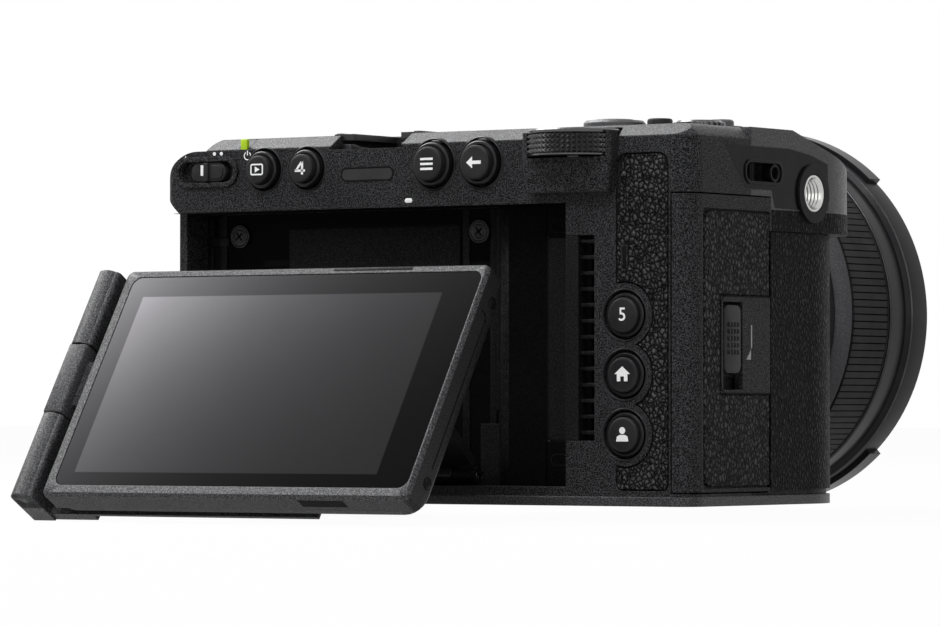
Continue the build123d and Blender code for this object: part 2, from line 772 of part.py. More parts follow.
with BuildPart() as vent_cover:
    left, right = vent_left + vent_seam, channel_right - vent_seam
    low, high = vent_low_z + vent_seam, vent_high_z - vent_seam
    block(left, right, rear_y + shelf_depth, shelf_back, low, high)
    block(ridge_x, ridge_right, rear_y, shelf_back, low, high)
    block(ridge_right, right, rear_y + channel_depth, shelf_back, low, high)
    for i in range(vent_count):
        z = vent_first_z + i * vent_pitch
        slot_right = right - vent_seam
        block(slot_right - vent_slot[0], slot_right, rear_y, shelf_back + 1, z - vent_slot[1] / 2,
              z + vent_slot[1] / 2, mode=Mode.SUBTRACT)
save(vent_cover, "vent_cover")

with BuildPart() as status_lamp:
    with BuildSketch(Plane.YZ.offset(lamp_x - lamp_width / 2)) as wedge:
        with BuildLine():
            Polyline((rear_y, band_z), (rear_y + band_depth, band_z), (rear_y + band_depth, deck_z),
                     close=True)
        make_face()
    extrude(wedge.sketch, amount=lamp_width)
save(status_lamp, "status_lamp")

with BuildPart() as indicator_bar:
    pill_y(indicator_x, rear_y, rear_y + indicator_thick, indicator_z, indicator_length - 2 * shaft_gap,
           indicator_height - 2 * shaft_gap)
save(indicator_bar, "indicator_bar")

# Parts inside the body
with BuildPart() as main_board:
    block(inner_left + board_margin, inner_right - board_margin, board_back, board_front, board_low_z,
          board_high_z)
    block(inner_left, body_left + left_top_r + gap, board_back, board_front, band_z - left_top_r - gap,
          board_high_z, mode=Mode.SUBTRACT)
    for x, z in board_holes:
        rod_y(x, board_back - 1, board_front + 1, z, screw_r + shaft_gap, mode=Mode.SUBTRACT)
save(main_board, "main_board")

with BuildPart() as sensor_frame:
    frame_front = sensor_y - sensor_thick
    block(-frame_size[0] / 2, frame_size[0] / 2, frame_front - frame_thick, frame_front,
          lens_z - frame_size[1] / 2, lens_z + frame_size[1] / 2)
    for x in (-frame_size[0] / 2 + 2 * post_r, frame_size[0] / 2 - 2 * post_r):
        for z in (lens_z - frame_size[1] / 2 + 2 * post_r, lens_z + frame_size[1] / 2 - 2 * post_r):
            rod_y(x, frame_front, front_y - wall, z, post_r)
save(sensor_frame, "sensor_frame")

with BuildPart() as image_sensor:
    block(-sensor_size[0] / 2, sensor_size[0] / 2, sensor_y - sensor_thick, sensor_y,
          lens_z - sensor_size[1] / 2, lens_z + sensor_size[1] / 2)
save(image_sensor, "image_sensor")

fan_front = board_front + fan_case_thick
with BuildPart() as fan_housing:
    half = fan_case / 2
    block(fan_x - half, fan_x + half, board_front, fan_front, fan_z - half, fan_z + half)
    rod_y(fan_x, board_front + fan_back, fan_front + 1, fan_z, fan_r + 2 * gap, mode=Mode.SUBTRACT)
    block(fan_x, fan_x + half + 1, board_front + fan_back, fan_front - fan_back, fan_z - fan_duct / 2,
          fan_z + fan_duct / 2, mode=Mode.SUBTRACT)
    rod_y(fan_x, board_front, fan_front - 1, fan_z, fan_pin_r)
save(fan_housing, "fan_housing")

with BuildPart() as fan_rotor:
    fan_start = board_front + fan_back + gap
    fan_stop = fan_front - 1.5
    rod_y(fan_x, fan_start, fan_stop, fan_z, fan_hub_r)
    blade = fan_r - fan_hub_r + 1
    with BuildSketch(Plane.XZ.offset(-fan_start - 1)) as blades:
        with Locations((fan_x, fan_z)):
            with PolarLocations(fan_r - blade / 2, fan_blades):
                Rectangle(blade, fan_blade_thick)
    extrude(blades.sketch, amount=fan_start + 2 - fan_stop)
    rod_y(fan_x, fan_start - 1, fan_stop + 1, fan_z, fan_pin_r + shaft_gap, mode=Mode.SUBTRACT)
save(fan_rotor, "fan_rotor")

with BuildPart() as battery:
    block(battery_x - battery_size[0] / 2, battery_x + battery_size[0] / 2, battery_y - battery_size[1] / 2,
          battery_y + battery_size[1] / 2, base_thick, base_thick + battery_size[2])
    fillet(battery.edges().filter_by(Axis.Z), battery_corner_r)
save(battery, "battery")

with BuildPart() as memory_card:
    card_y = rear_y + card_depth
    block(rebate_x - gap - card_size[0], rebate_x - gap, card_y, card_y + card_size[1],
          card_z - card_size[2] / 2, card_z + card_size[2] / 2)
save(memory_card, "memory_card")

with BuildPart() as port_block:
    block(inner_left, inner_left + port_block_depth, rear_y + port_start - port_margin,
          rear_y + port_end + port_margin, port_low_z - port_margin, port_high_z + port_margin)
    middle = rear_y + (port_start + port_end) / 2
    for z, height in port_sockets:
        block(inner_left - 1, inner_left + port_socket_depth, middle - port_socket_width / 2,
              middle + port_socket_width / 2, z - height / 2, z + height / 2, mode=Mode.SUBTRACT)
save(port_block, "port_block")

# Lens, fixed to the mount
with BuildPart() as lens_barrel:
    rod_y(0, mount_y, mount_y + barrel_foot_length, lens_z, barrel_foot_r)
    rod_y(0, mount_y, mount_y + filter_start, lens_z, barrel_tube_r)
    rod_y(0, mount_y + focus_end + ring_gap, mount_y + zoom_start - ring_gap, lens_z, sleeve_r)
    rod_y(0, mount_y - rear_tube, mount_y, lens_z, mount_bore_r - 2 * shaft_gap)
    rod_y(0, mount_y - rear_tube, mount_y + rear_plate, lens_z, rear_glass_r + shaft_gap, mode=Mode.SUBTRACT)
    rod_y(0, mount_y + rear_plate, mount_y + lens_length, lens_z, barrel_bore_r, mode=Mode.SUBTRACT)
save(lens_barrel, "lens_barrel")

with BuildPart() as rear_element:
    rod_y(0, mount_y + rear_plate - 1 - rear_glass_thick, mount_y + rear_plate - 1, lens_z, rear_glass_r)
save(rear_element, "rear_element")

with BuildPart() as front_element:
    rod_y(0, mount_y + front_glass_start, mount_y + front_glass_start + front_glass_thick, lens_z,
          front_glass_r)
    fillet(front_element.edges().group_by(Axis.Y)[-1], front_glass_round)
save(front_element, "front_element")


def ring_profile(points):
    """Ring about the lens axis from its section: distances ahead of the mount and radii."""
    with BuildSketch(Plane(origin=(0, mount_y, lens_z), x_dir=(0, 1, 0), z_dir=(1, 0, 0))) as section:
        with BuildLine():
            Polyline(*points, close=True)
        make_face()
    revolve(section.sketch, axis=Axis((0, 0, lens_z), (0, 1, 0)))


with BuildPart() as front_ring:
    tube = barrel_tube_r + shaft_gap
    ring_profile([(zoom_end, tube), (zoom_end, front_ring_a_r), (front_ring_a_end, front_ring_a_r),
                  (front_ring_a_end, front_ring_b_r), (front_ring_b_end, front_ring_b_r),
                  (front_ring_b_end, front_ring_r), (lens_length, front_ring_r), (lens_length, filter_r),
                  (filter_start, filter_r), (filter_start, tube)])
    with BuildSketch(Plane.XZ.offset(-mount_y - lens_length)) as lugs:
        with Locations((0, lens_z)):
            Circle(lug_r)
            Circle(front_ring_r - 1, mode=Mode.SUBTRACT)
            for side in (-1, 1):
                with Locations((side * lug_r, 0)):
                    Rectangle(2 * lug_r * (1 - cos(radians(lug_half_angle))), 3 * lug_r, mode=Mode.SUBTRACT)
    extrude(lugs.sketch, amount=lens_length - front_ring_b_end)
save(front_ring, "front_ring")

with BuildPart() as zoom_ring:
    bore = barrel_tube_r + ring_gap
    ring_profile([(zoom_start, bore), (zoom_start, zoom_band_r), (zoom_chamfer_start, zoom_band_r),
                  (zoom_rib_start, zoom_r), (zoom_end - ring_gap, zoom_r), (zoom_end - ring_gap, bore)])
    rib_width = 2 * pi * zoom_r / zoom_ribs * zoom_rib_share
    with BuildSketch(Plane.XZ.offset(-mount_y - zoom_rib_start - 0.8)) as ribs:
        with Locations((0, lens_z)):
            with PolarLocations(zoom_r, zoom_ribs):
                Rectangle(2 * rib_height, rib_width)
    extrude(ribs.sketch, amount=-(zoom_end - zoom_rib_start - 2))
save(zoom_ring, "zoom_ring")

with BuildPart() as focus_ring:
    ring_profile([(focus_start, bore), (focus_start, focus_r), (focus_end, focus_r), (focus_end, bore)])
save(focus_ring, "focus_ring")

with BuildPart() as lens_release:
    inside = front_y - wall - gap
    rod_y(release_x, inside - release_flange, front_y + release_stand, release_z, release_r)
    rod_y(release_x, inside - release_flange, inside, release_z, release_r + 1)
save(lens_release, "lens_release")

# Buttons and controls
for name, (x, z, radius, stand) in buttons.items():
    with BuildPart() as button:
        rod_y(x, rear_y - stand, rear_y + well_depth - button_travel - shaft_gap, z, radius)
        chamfer(button.edges().group_by(Axis.Y)[0], cap_chamfer)
        rod_y(x, rear_y, rear_y + stem_length, z, stem_r)
    save(button, name)

with BuildPart() as power_slider:
    pill_y(slider_x, rear_y - slider_stand, rear_y + switch_depth - gap, switch_z, slider_length,
           switch_height - 2 * gap)
    block(slider_x - slider_ridge[0] / 2, slider_x + slider_ridge[0] / 2,
          rear_y - slider_stand - slider_ridge[2], rear_y, switch_z - slider_ridge[1] / 2,
          switch_z + slider_ridge[1] / 2)
save(power_slider, "power_slider")

with BuildPart() as rear_dial:
    with BuildSketch(Plane.XY.offset(dial_low_z)) as wheel:
        with Locations((dial_x, rear_y + dial_depth)):
            Circle(dial_r)
            with PolarLocations(dial_r, dial_ridges):
                Rectangle(2 * dial_tooth, dial_ridge_width)
    extrude(amount=dial_high_z - dial_low_z)
    rod_z(dial_x, rear_y + dial_depth, dial_low_z - dial_shaft_length + gap, dial_low_z, dial_shaft_r)
save(rear_dial, "rear_dial")

for name in ("control_disc", "top_dial"):
    x, y, top, radius = deck_controls[name]
    with BuildPart() as knob:
        rod_z(x, y, top + gap, top + control_rise, radius)
        chamfer(knob.edges().group_by(Axis.Z)[-1], cap_chamfer)
        if name == "top_dial":
            with BuildSketch(Plane.XY.offset(top + 2 * gap)):
                with Locations((x, y)):
                    with PolarLocations(radius, top_dial_ridges):
                        Circle(top_dial_ridge_r)
            extrude(amount=control_rise - 3 * gap)
        rod_z(x, y, top - control_stem + gap, top + gap, control_stem_r)
    save(knob, name)

with BuildPart() as small_button:
    x, y, top, radius = deck_controls["small_button"]
    rod_z(x, y, top - push_well + push_travel + shaft_gap, top + control_rise, radius)
    chamfer(small_button.edges().group_by(Axis.Z)[-1], cap_chamfer)
    rod_z(x, y, top - control_stem + push_travel + gap, top, control_stem_r)
save(small_button, "small_button")

with BuildPart() as zoom_lever:
    rod_z(record_x, record_y, collar_z + gap, collar_z + lever_height, lever_r)
    block(record_x - 1.5, record_x + 1.5, record_y, record_y + lever_r + lever_arm, collar_z + 2 * gap,
          collar_z + lever_height)
    rod_z(record_x, record_y, collar_z, collar_z + lever_height + 1, record_r + gap, mode=Mode.SUBTRACT)
save(zoom_lever, "zoom_lever")

with BuildPart() as record_button:
    rod_z(record_x, record_y, collar_z + push_travel + gap, collar_z + lever_height + record_stand, record_r)
    chamfer(record_button.edges().group_by(Axis.Z)[-1], cap_chamfer)
    rod_z(record_x, record_y, collar_z - control_stem + push_travel + gap, collar_z + push_travel + gap,
          control_stem_r)
save(record_button, "record_button")

# Doors and covers
with BuildPart() as side_door:
    for grow, radius, mode in ((0, right_corner_r, Mode.ADD),
                               (door_thick, right_corner_r - 2 * door_thick, Mode.SUBTRACT)):
        with BuildSketch(Plane.XY.offset(door_low_z)) as door_plan:
            with Locations((body_right - grow - 2 * door_thick, rear_y + grow)):
                Rectangle(4 * door_thick, door_depth, align=(Align.CENTER, Align.MIN))
            fillet(door_plan.vertices().group_by(Axis.X)[-1].sort_by(Axis.Y)[0], radius)
        extrude(amount=door_high_z - door_low_z, mode=mode)
    block(body_right - 5 * door_thick, door_left, rear_y - 1, rear_y + door_depth, door_low_z, door_high_z,
          mode=Mode.SUBTRACT)
    block(body_right - skin, body_right + 1, rear_y + door_leather_start, rear_y + door_depth,
          latch_panel_high_z, door_leather_high_z, mode=Mode.SUBTRACT)
    block(body_right - skin, body_right + 1, rear_y + door_leather_start, rear_y + door_depth,
          door_leather_low_z, latch_panel_low_z, mode=Mode.SUBTRACT)
    block(body_right - skin, body_right + 1, rear_y + door_leather_start, rear_y + latch_panel_start,
          latch_panel_low_z, latch_panel_high_z, mode=Mode.SUBTRACT)
    block(rebate_x, body_right + 1, rear_y + latch_start - gap, rear_y + latch_end + gap,
          latch_low_z - latch_travel - gap, latch_high_z + gap, mode=Mode.SUBTRACT)
save(side_door, "side_door")

with BuildPart() as door_leather:
    block(body_right - skin, body_right, rear_y + door_leather_start, rear_y + door_depth, door_leather_low_z,
          door_leather_high_z)
    block(body_right - skin, body_right, rear_y + latch_panel_start, rear_y + door_depth, latch_panel_low_z,
          latch_panel_high_z, mode=Mode.SUBTRACT)
save(door_leather, "door_leather")

with BuildPart() as door_latch:
    flange_low, flange_high = rebate_x + gap, body_right - door_thick - gap
    block(flange_low, body_right, rear_y + latch_start, rear_y + latch_end, latch_low_z, latch_high_z)
    block(flange_low, flange_high, rear_y + latch_start - latch_lip, rear_y + latch_end + latch_lip,
          latch_low_z - latch_lip, latch_high_z + latch_lip)
    rib_pitch = (latch_high_z - latch_low_z) / (latch_ribs + 2)
    for i in range(latch_ribs):
        z = latch_low_z + (i + 1.5) * rib_pitch
        block(body_right, body_right + latch_rib_stand, rear_y + latch_start + 1, rear_y + latch_end - 1,
              z - rib_pitch / 4, z + rib_pitch / 4)
save(door_latch, "door_latch")

with BuildPart() as battery_door:
    block(hatch_left + gap, hatch_right - gap, hatch_back + gap, hatch_front - gap, 0, hatch_thick)
save(battery_door, "battery_door")

with BuildPart() as port_cover:
    block(body_left, body_left + port_cover_thick, rear_y + port_start + gap, rear_y + port_end - gap,
          port_low_z + gap, port_high_z - gap)
save(port_cover, "port_cover")

# Screen linkage at rest: the arm leans back and the screen faces up
lean = radians(arm_lean)
tilt = radians(screen_tilt)
arm_axis = (rear_y + arm_axis_depth, arm_axis_z)
cradle_axis = (arm_axis[0] - arm_length * sin(lean), arm_axis[1] + arm_length * cos(lean))
screen_foot = (cradle_axis[0] - cradle_axis_up * sin(tilt) - cradle_axis_in * cos(tilt),
               cradle_axis[1] - cradle_axis_up * cos(tilt) + cradle_axis_in * sin(tilt))
arm_plane = Plane(origin=(0, *arm_axis), x_dir=(1, 0, 0), z_dir=(0, -cos(lean), -sin(lean)))
screen_plane = Plane(origin=(0, *screen_foot), x_dir=(1, 0, 0), z_dir=(0, -cos(tilt), sin(tilt)))
inner_knuckle = (arm_left + hinge_end - 0.7 + gap, arm_right - hinge_end - gap)
outer_knuckles = ((arm_left - 1, arm_left + hinge_end - 0.7), (arm_right - hinge_end, arm_right))


def barrel_plane(up):
    """Plane square to the hinge barrel, at a height up the screen; its y axis goes into the screen."""
    return Plane(origin=(0, screen_foot[0] + up * sin(tilt), screen_foot[1] + up * cos(tilt)),
                 x_dir=(1, 0, 0), z_dir=(0, sin(tilt), cos(tilt)))


def barrel_rod(radius, u0, u1, mode=Mode.ADD):
    """Round bar along the hinge barrel's axis."""
    with BuildSketch(barrel_plane(u0)) as section:
        with Locations((barrel_x, barrel_in)):
            Circle(radius)
    extrude(section.sketch, amount=u1 - u0, mode=mode)


with BuildPart() as hinge_base:
    for x0, x1 in outer_knuckles:
        rod_x(x0, x1, *arm_axis, knuckle_r)
        block(x0, x1, arm_axis[0], rear_y + pocket_depth, ledge_z, arm_axis_z)
    pocket_wall = rear_y + pocket_depth
    block(outer_knuckles[0][0], pocket_right - gap, pocket_wall - hinge_strip_thick, pocket_wall, ledge_z,
          arm_axis_z - 0.5)
    block(arm_right + gap, pocket_right - gap, pocket_wall - arm_thick, pocket_wall, ledge_z, bracket_high_z)
    rod_x(arm_left - 2, arm_right + 1, *arm_axis, pin_r, mode=Mode.SUBTRACT)
save(hinge_base, "hinge_base")

with BuildPart() as lower_pin:
    rod_x(arm_left - 1, arm_right, *arm_axis, pin_r)
save(lower_pin, "lower_pin")

with BuildPart() as tilt_arm:
    rod_x(*inner_knuckle, *arm_axis, knuckle_r)
    rod_x(*inner_knuckle, *cradle_axis, knuckle_r)
    slab(arm_plane, *inner_knuckle, 0, arm_length, 0, arm_thick)
    slab(arm_plane, arm_left, arm_right, arm_clear, arm_length - arm_clear, 0, arm_thick)
    rod_x(*inner_knuckle, *arm_axis, pin_r + shaft_gap, mode=Mode.SUBTRACT)
    rod_x(*inner_knuckle, *cradle_axis, pin_r + shaft_gap, mode=Mode.SUBTRACT)
save(tilt_arm, "tilt_arm")

with BuildPart() as screen_cradle:
    back = screen_thick + gap
    plate = back + cradle_thick
    slab(screen_plane, barrel_x - barrel_r, cradle_right, cradle_low, cradle_high, back, plate)
    slab(screen_plane, barrel_x - barrel_r, cradle_right, cradle_foot, cradle_low, back, back + cradle_lip)
    slab(screen_plane, barrel_x - barrel_r, outer_knuckles[0][0] - gap, cradle_foot, cradle_low, back, plate)
    slab(screen_plane, inner_knuckle[0] - gap, inner_knuckle[1] + gap, cradle_axis_up - knuckle_r - arm_thick,
         cradle_axis_up + knuckle_r + gap, back - 1, plate + 1, mode=Mode.SUBTRACT)
    for x0, x1 in outer_knuckles:
        rod_x(x0, x1, *cradle_axis, knuckle_r)
    # The two fixed segments of the hinge barrel, each with a web down to the plate
    for low, high in ((0, barrel_low - gap), (barrel_high + gap, screen_height)):
        barrel_rod(barrel_r, low, high)
        slab(screen_plane, barrel_x - barrel_r, barrel_x + barrel_r, low, high, barrel_in, plate)
        barrel_rod(pin_r + shaft_gap, low - 1, high + 1, mode=Mode.SUBTRACT)
    rod_x(arm_left - 2, arm_right + 1, *cradle_axis, pin_r, mode=Mode.SUBTRACT)
save(screen_cradle, "screen_cradle")

with BuildPart() as upper_pin:
    rod_x(arm_left - 1, arm_right, *cradle_axis, pin_r)
save(upper_pin, "upper_pin")

with BuildPart() as hinge_block:
    slab(screen_plane, barrel_x - barrel_r, barrel_x + barrel_r, barrel_low, barrel_high, 0, 2 * barrel_in)
    slab(screen_plane, barrel_x, screen_left, barrel_low + 3, barrel_high - 3, 1.2, 4.2)
    barrel_rod(pin_r, barrel_low - barrel_pin, barrel_high + barrel_pin)
save(hinge_block, "hinge_block")

with BuildPart() as screen_shell:
    slab(screen_plane, screen_left, screen_right, 0, screen_height, 0, screen_thick)
    fillet(screen_shell.edges().filter_by(Axis(screen_plane.origin, screen_plane.z_dir)), bezel_corner_r)
    slab(screen_plane, glass_x - glass_width / 2 - shaft_gap, glass_x + glass_width / 2 + shaft_gap,
         glass_up - glass_height / 2 - shaft_gap, glass_up + glass_height / 2 + shaft_gap, 0,
         glass_sink + glass_thick, mode=Mode.SUBTRACT)
    slab(screen_plane, panel_x - panel_width / 2, panel_x + panel_width / 2, panel_up - panel_height / 2,
         panel_up + panel_height / 2, 0, glass_sink + glass_thick + panel_thick, mode=Mode.SUBTRACT)
    slab(screen_plane, notch_x - notch_width / 2, notch_x + notch_width / 2, 0, 0.9, 1.5, screen_thick - 2,
         mode=Mode.SUBTRACT)
save(screen_shell, "screen_shell")

with BuildPart() as screen_glass:
    slab(screen_plane, glass_x - glass_width / 2, glass_x + glass_width / 2, glass_up - glass_height / 2,
         glass_up + glass_height / 2, glass_sink, glass_sink + glass_thick)
    fillet(screen_glass.edges().filter_by(Axis(screen_plane.origin, screen_plane.z_dir)), glass_corner_r)
save(screen_glass, "screen_glass")

with BuildPart() as lcd_panel:
    slab(screen_plane, panel_x - panel_width / 2 + shaft_gap, panel_x + panel_width / 2 - shaft_gap,
         panel_up - panel_height / 2 + shaft_gap, panel_up + panel_height / 2 - shaft_gap,
         glass_sink + glass_thick, glass_sink + glass_thick + panel_thick)
save(lcd_panel, "lcd_panel")
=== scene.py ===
from math import atan2, cos, pi, radians, sin

import bmesh
import bpy
from mathutils import Matrix, Vector


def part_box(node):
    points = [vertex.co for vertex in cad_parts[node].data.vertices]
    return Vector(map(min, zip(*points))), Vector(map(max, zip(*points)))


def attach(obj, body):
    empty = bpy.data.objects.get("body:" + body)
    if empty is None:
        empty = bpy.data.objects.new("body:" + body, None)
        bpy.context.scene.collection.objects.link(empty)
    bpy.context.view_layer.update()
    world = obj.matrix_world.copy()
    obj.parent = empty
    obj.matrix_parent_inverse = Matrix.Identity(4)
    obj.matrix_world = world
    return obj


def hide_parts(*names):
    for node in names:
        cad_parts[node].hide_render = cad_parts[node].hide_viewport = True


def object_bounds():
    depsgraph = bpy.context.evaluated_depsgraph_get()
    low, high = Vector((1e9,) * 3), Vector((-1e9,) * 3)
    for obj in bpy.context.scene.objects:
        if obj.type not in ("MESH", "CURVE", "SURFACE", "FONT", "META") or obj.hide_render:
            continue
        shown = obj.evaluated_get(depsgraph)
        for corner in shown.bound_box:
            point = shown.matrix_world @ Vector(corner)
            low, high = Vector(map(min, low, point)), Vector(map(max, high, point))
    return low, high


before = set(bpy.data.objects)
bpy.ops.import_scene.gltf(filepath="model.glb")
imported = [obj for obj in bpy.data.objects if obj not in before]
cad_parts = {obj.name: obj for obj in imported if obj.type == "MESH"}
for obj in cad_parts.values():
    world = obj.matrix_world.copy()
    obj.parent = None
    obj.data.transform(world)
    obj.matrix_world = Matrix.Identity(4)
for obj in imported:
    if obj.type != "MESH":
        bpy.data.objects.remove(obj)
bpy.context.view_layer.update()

# Shapes are drawn in millimetres in the shared frame and brought to metres as they are placed.
MM = 0.001

# Points closer than this are one, in a new shape and in a copy of a CAD node
shape_gap, copy_gap = 0.0005, 0.001

# Planes and places of the body
rear_y, front_y = -33.0, 25.0
left_x, side_x = -57.0, 79.0
deck_z = 79.0
lens_z, mount_y = 42.0, 30.0
strip_button_z = 71.9
side_button_x = 63.2
print_thick = 0.05

# The recess behind the screen: its edges, and the depths of its two floors ahead of the rear plane
recess_left, recess_right, recess_foot, recess_top = -54.9, 48.5, 4.0, 62.9
pocket, shelf = 13.5, 8.6
rib_foot, rib_top = 4.2, 62.8

# The rear screen at rest
screen_tilt = radians(32.1)
tilt_sin, tilt_cos = sin(screen_tilt), cos(screen_tilt)
screen_width, screen_height = 93.8, 56.2
screen_centre_x = 1.1
glass_size, glass_centre, glass_r = (90.0, 51.6), (1.9, 28.4), 2.2
active_size, active_centre = (77.5, 43.6), (-0.2, 27.5)
barrel_x, barrel_in, barrel_r = -51.6, 2.6, 2.9

# How the photograph was taken
photo_width = 940
view_turn, view_rise, view_focal_px = radians(34.5), radians(1.1), 5200.0
view_place = Vector((644.7, -935.5, 19.3))

# The studio: lamps in metres and watts, all aimed at the middle of the object
lamp_target = Vector((0, 0, 0.04))
lamps = [("key", (-0.80, -0.02, 1.05), (0.9, 0.9), 28), ("front_top", (0.15, -0.95, 1.15), (0.6, 0.6), 13),
         ("right_bank", (1.35, -0.95, 0.50), (0.7, 1.1), 3)]
paper_strength, room_strength, floor_glow = 1.0, 0.25, 0.97
floor_half, floor_thick = 6000, 20


# Sockets reached by number: object coordinates, and the two colours and the result of a colour mix
object_out, mix_low, mix_high, mix_out = 3, 6, 7, 2
soft_edge = 0.12    # of a pattern that ends at a line, in millimetres


# ---- Shader maths as plain expressions
class Value:
    """The output of a shader node, so that maths on it is written as an expression."""

    def __init__(self, finish, socket):
        self.finish, self.socket = finish, socket

    def math(self, operation, *others):
        values = {i: other for i, other in enumerate((self, *others))}
        return self.finish.node("Math", {"operation": operation}, values)

    def __add__(self, other):
        return self.math("ADD", other)

    def __sub__(self, other):
        return self.math("SUBTRACT", other)

    def __mul__(self, other):
        return self.math("MULTIPLY", other)

    def __rsub__(self, other):
        return self.finish.node("Math", {"operation": "SUBTRACT"}, {0: other, 1: self})

    __radd__, __rmul__ = __add__, __mul__

    def above(self, low, high):
        """0 below low, 1 above high, smooth between."""
        settings = {"interpolation_type": "SMOOTHSTEP"}
        return self.finish.node("MapRange", settings, {0: self, 1: low, 2: high, 3: 0.0, 4: 1.0})

    def within(self, half):
        """1 up to half on either side of 0, with soft edges."""
        low = self.above(-half - soft_edge, -half + soft_edge)
        return low * (1 - self.above(half - soft_edge, half + soft_edge))


class Finish:
    """A material being made: its nodes end in one principled surface."""

    def __init__(self, name, **constants):
        self.material = bpy.data.materials.new(name)
        self.material.use_nodes = True
        self.tree = self.material.node_tree
        self.surface = self.tree.nodes["Principled BSDF"]
        for socket, value in constants.items():
            self.surface.inputs[socket.replace("_", " ")].default_value = value

    def node(self, kind, settings=None, sockets=None, out=0):
        made = self.tree.nodes.new("ShaderNode" + kind)
        for name, value in (settings or {}).items():
            setattr(made, name, value)
        for key, value in (sockets or {}).items():
            if isinstance(value, Value):
                self.tree.links.new(value.socket, made.inputs[key])
            else:
                made.inputs[key].default_value = value
        return Value(self, made.outputs[out])

    def feed(self, socket, value):
        self.tree.links.new(value.socket, self.surface.inputs[socket])

    def place(self, stretch=(1, 1, 1)):
        """Object coordinates in millimetres, stretched along the frame's axes."""
        where = self.node("TexCoord", out=object_out)
        scale = tuple(s / MM for s in stretch)
        return self.node("VectorMath", {"operation": "MULTIPLY"}, {0: where, 1: scale})

    def axis(self, where, index):
        return self.node("SeparateXYZ", None, {0: where}, out=index)

    def noise(self, where, size, detail=2.0, roughness=0.5):
        sockets = {"Vector": where, "Scale": 1 / size, "Detail": detail, "Roughness": roughness}
        return self.node("TexNoise", None, sockets)

    def warp(self, where, size, amount):
        shift = self.node("TexNoise", None, {"Vector": where, "Scale": 1 / size}, out=1)
        shift = self.node("VectorMath", {"operation": "SUBTRACT"}, {0: shift, 1: (0.5, 0.5, 0.5)})
        shift = self.node("VectorMath", {"operation": "SCALE"}, {0: shift, "Scale": amount})
        return self.node("VectorMath", {"operation": "ADD"}, {0: where, 1: shift})

    def cells(self, where, size, feature="DISTANCE_TO_EDGE"):
        return self.node("TexVoronoi", {"feature": feature}, {"Vector": where, "Scale": 1 / size})

    def mix(self, factor, low, high):
        """A colour between two; the low one may vary already."""
        low = low if isinstance(low, Value) else (*low, 1)
        sockets = {0: factor, mix_low: low, mix_high: (*high, 1)}
        return self.node("Mix", {"data_type": "RGBA"}, sockets, mix_out)

    def relief(self, height, depth, edge):
        """Bump from a height of 0 to 1, on edges that are rounded to a radius in millimetres."""
        sockets = {"Height": height, "Distance": depth * MM}
        sockets["Normal"] = self.node("Bevel", {"samples": 4}, {"Radius": edge * MM})
        self.feed("Normal", self.node("Bump", None, sockets))


def grey(tone, blue=None):
    """Neutral colour, or a slightly cold one where its blue is given."""
    return tone, tone, blue or tone


# ---- Finishes
def grained(name, colour, glint, rough, grain=0.28, depth=0.07, edge=0.35, gloss=0.15):
    """Moulded or painted black with a fine grain whose tips catch the light through their bump and are also
    painted lighter, a painted glint.
    """
    finish = Finish(name, Specular_IOR_Level=gloss)
    where = finish.place()
    fine = finish.noise(where, grain, 3.0, 0.7)
    broad = finish.noise(where, 9.0, 3.0)
    tips = fine.above(0.44, 0.62)
    # The glint colour on the grain's tips is a painted glint in the base colour.
    finish.feed("Base Color", finish.mix(tips * (0.75 + broad * 0.5), colour, glint))
    finish.feed("Roughness", rough + (broad - 0.5) * 0.12 - tips * 0.12)
    finish.relief(fine, depth, edge)
    return finish.material


def hide(name, colour, cell, lengthwise):
    """Pebbled leather: rounded pebbles of mixed size between fine creases that are painted near black,
    painted shade in the creases.
    """
    finish = Finish(name, Specular_IOR_Level=0.03)
    where = finish.place((1.0, 1.0, lengthwise))
    gap = finish.cells(finish.warp(where, cell * 0.7, cell * 0.7), cell)
    small = finish.cells(finish.warp(where, cell * 0.5, cell * 0.3), cell * 0.5).above(0.0, 0.3)
    pore = finish.noise(where, cell * 0.16, 3.0)
    patch = finish.noise(where, cell * 3, 2.0)
    tops = gap.above(0.0, 0.38) * (0.6 + small * 0.4)
    # Near-black creases are painted shade; the pebble tops carry the leather's colour.
    finish.feed("Base Color", finish.mix(tops * (0.5 + patch), grey(0.001), colour))
    finish.feed("Roughness", 0.44 - tops * 0.16 + pore * 0.12)
    finish.relief(gap.above(0.0, 0.5) + small * 0.16 + pore * 0.06, depth=0.7, edge=0.3)
    return finish.material


def smooth_part(name, colour, shade, rough, metallic=0.0, edge=0.2, gloss=0.4):
    """Smooth plastic, paint or metal with faint mottling and fine handling marks."""
    finish = Finish(name, Metallic=metallic, Specular_IOR_Level=gloss)
    mottle = finish.noise(finish.place(), 6.4, 4.0, 0.6)
    marks = finish.noise(finish.place((1.0, 1.0, 0.15)), 1.6, 5.0, 0.75)
    finish.feed("Base Color", finish.mix(mottle.above(0.35, 0.7), colour, shade))
    finish.feed("Roughness", rough + (marks - 0.5) * 0.16)
    finish.relief(marks, 0.004, edge)
    return finish.material


def brushed(name, colour, shade, rough, direction):
    """Metal brushed along one axis."""
    finish = Finish(name, Metallic=1.0)
    stretch = tuple(0.04 if i == direction else 1.0 for i in range(3))
    lines = finish.noise(finish.place(stretch), 0.12, 3.0, 0.7)
    broad = finish.noise(finish.place(), 5.0, 3.0)
    finish.feed("Base Color", finish.mix(lines * 0.7 + broad * 0.3, shade, colour))
    finish.feed("Roughness", rough + (lines - 0.5) * 0.2)
    finish.relief(lines, depth=0.01, edge=0.15)
    return finish.material


def printed(name, colour):
    """Printed mark with slightly uneven ink."""
    finish = Finish(name)
    ink = finish.noise(finish.place(), 0.25, 3.0)
    faded = tuple(c * 0.86 for c in colour)
    finish.feed("Base Color", finish.mix(ink.above(0.3, 0.7), faded, colour))
    finish.feed("Roughness", 0.5 + (ink - 0.5) * 0.1)
    return finish.material


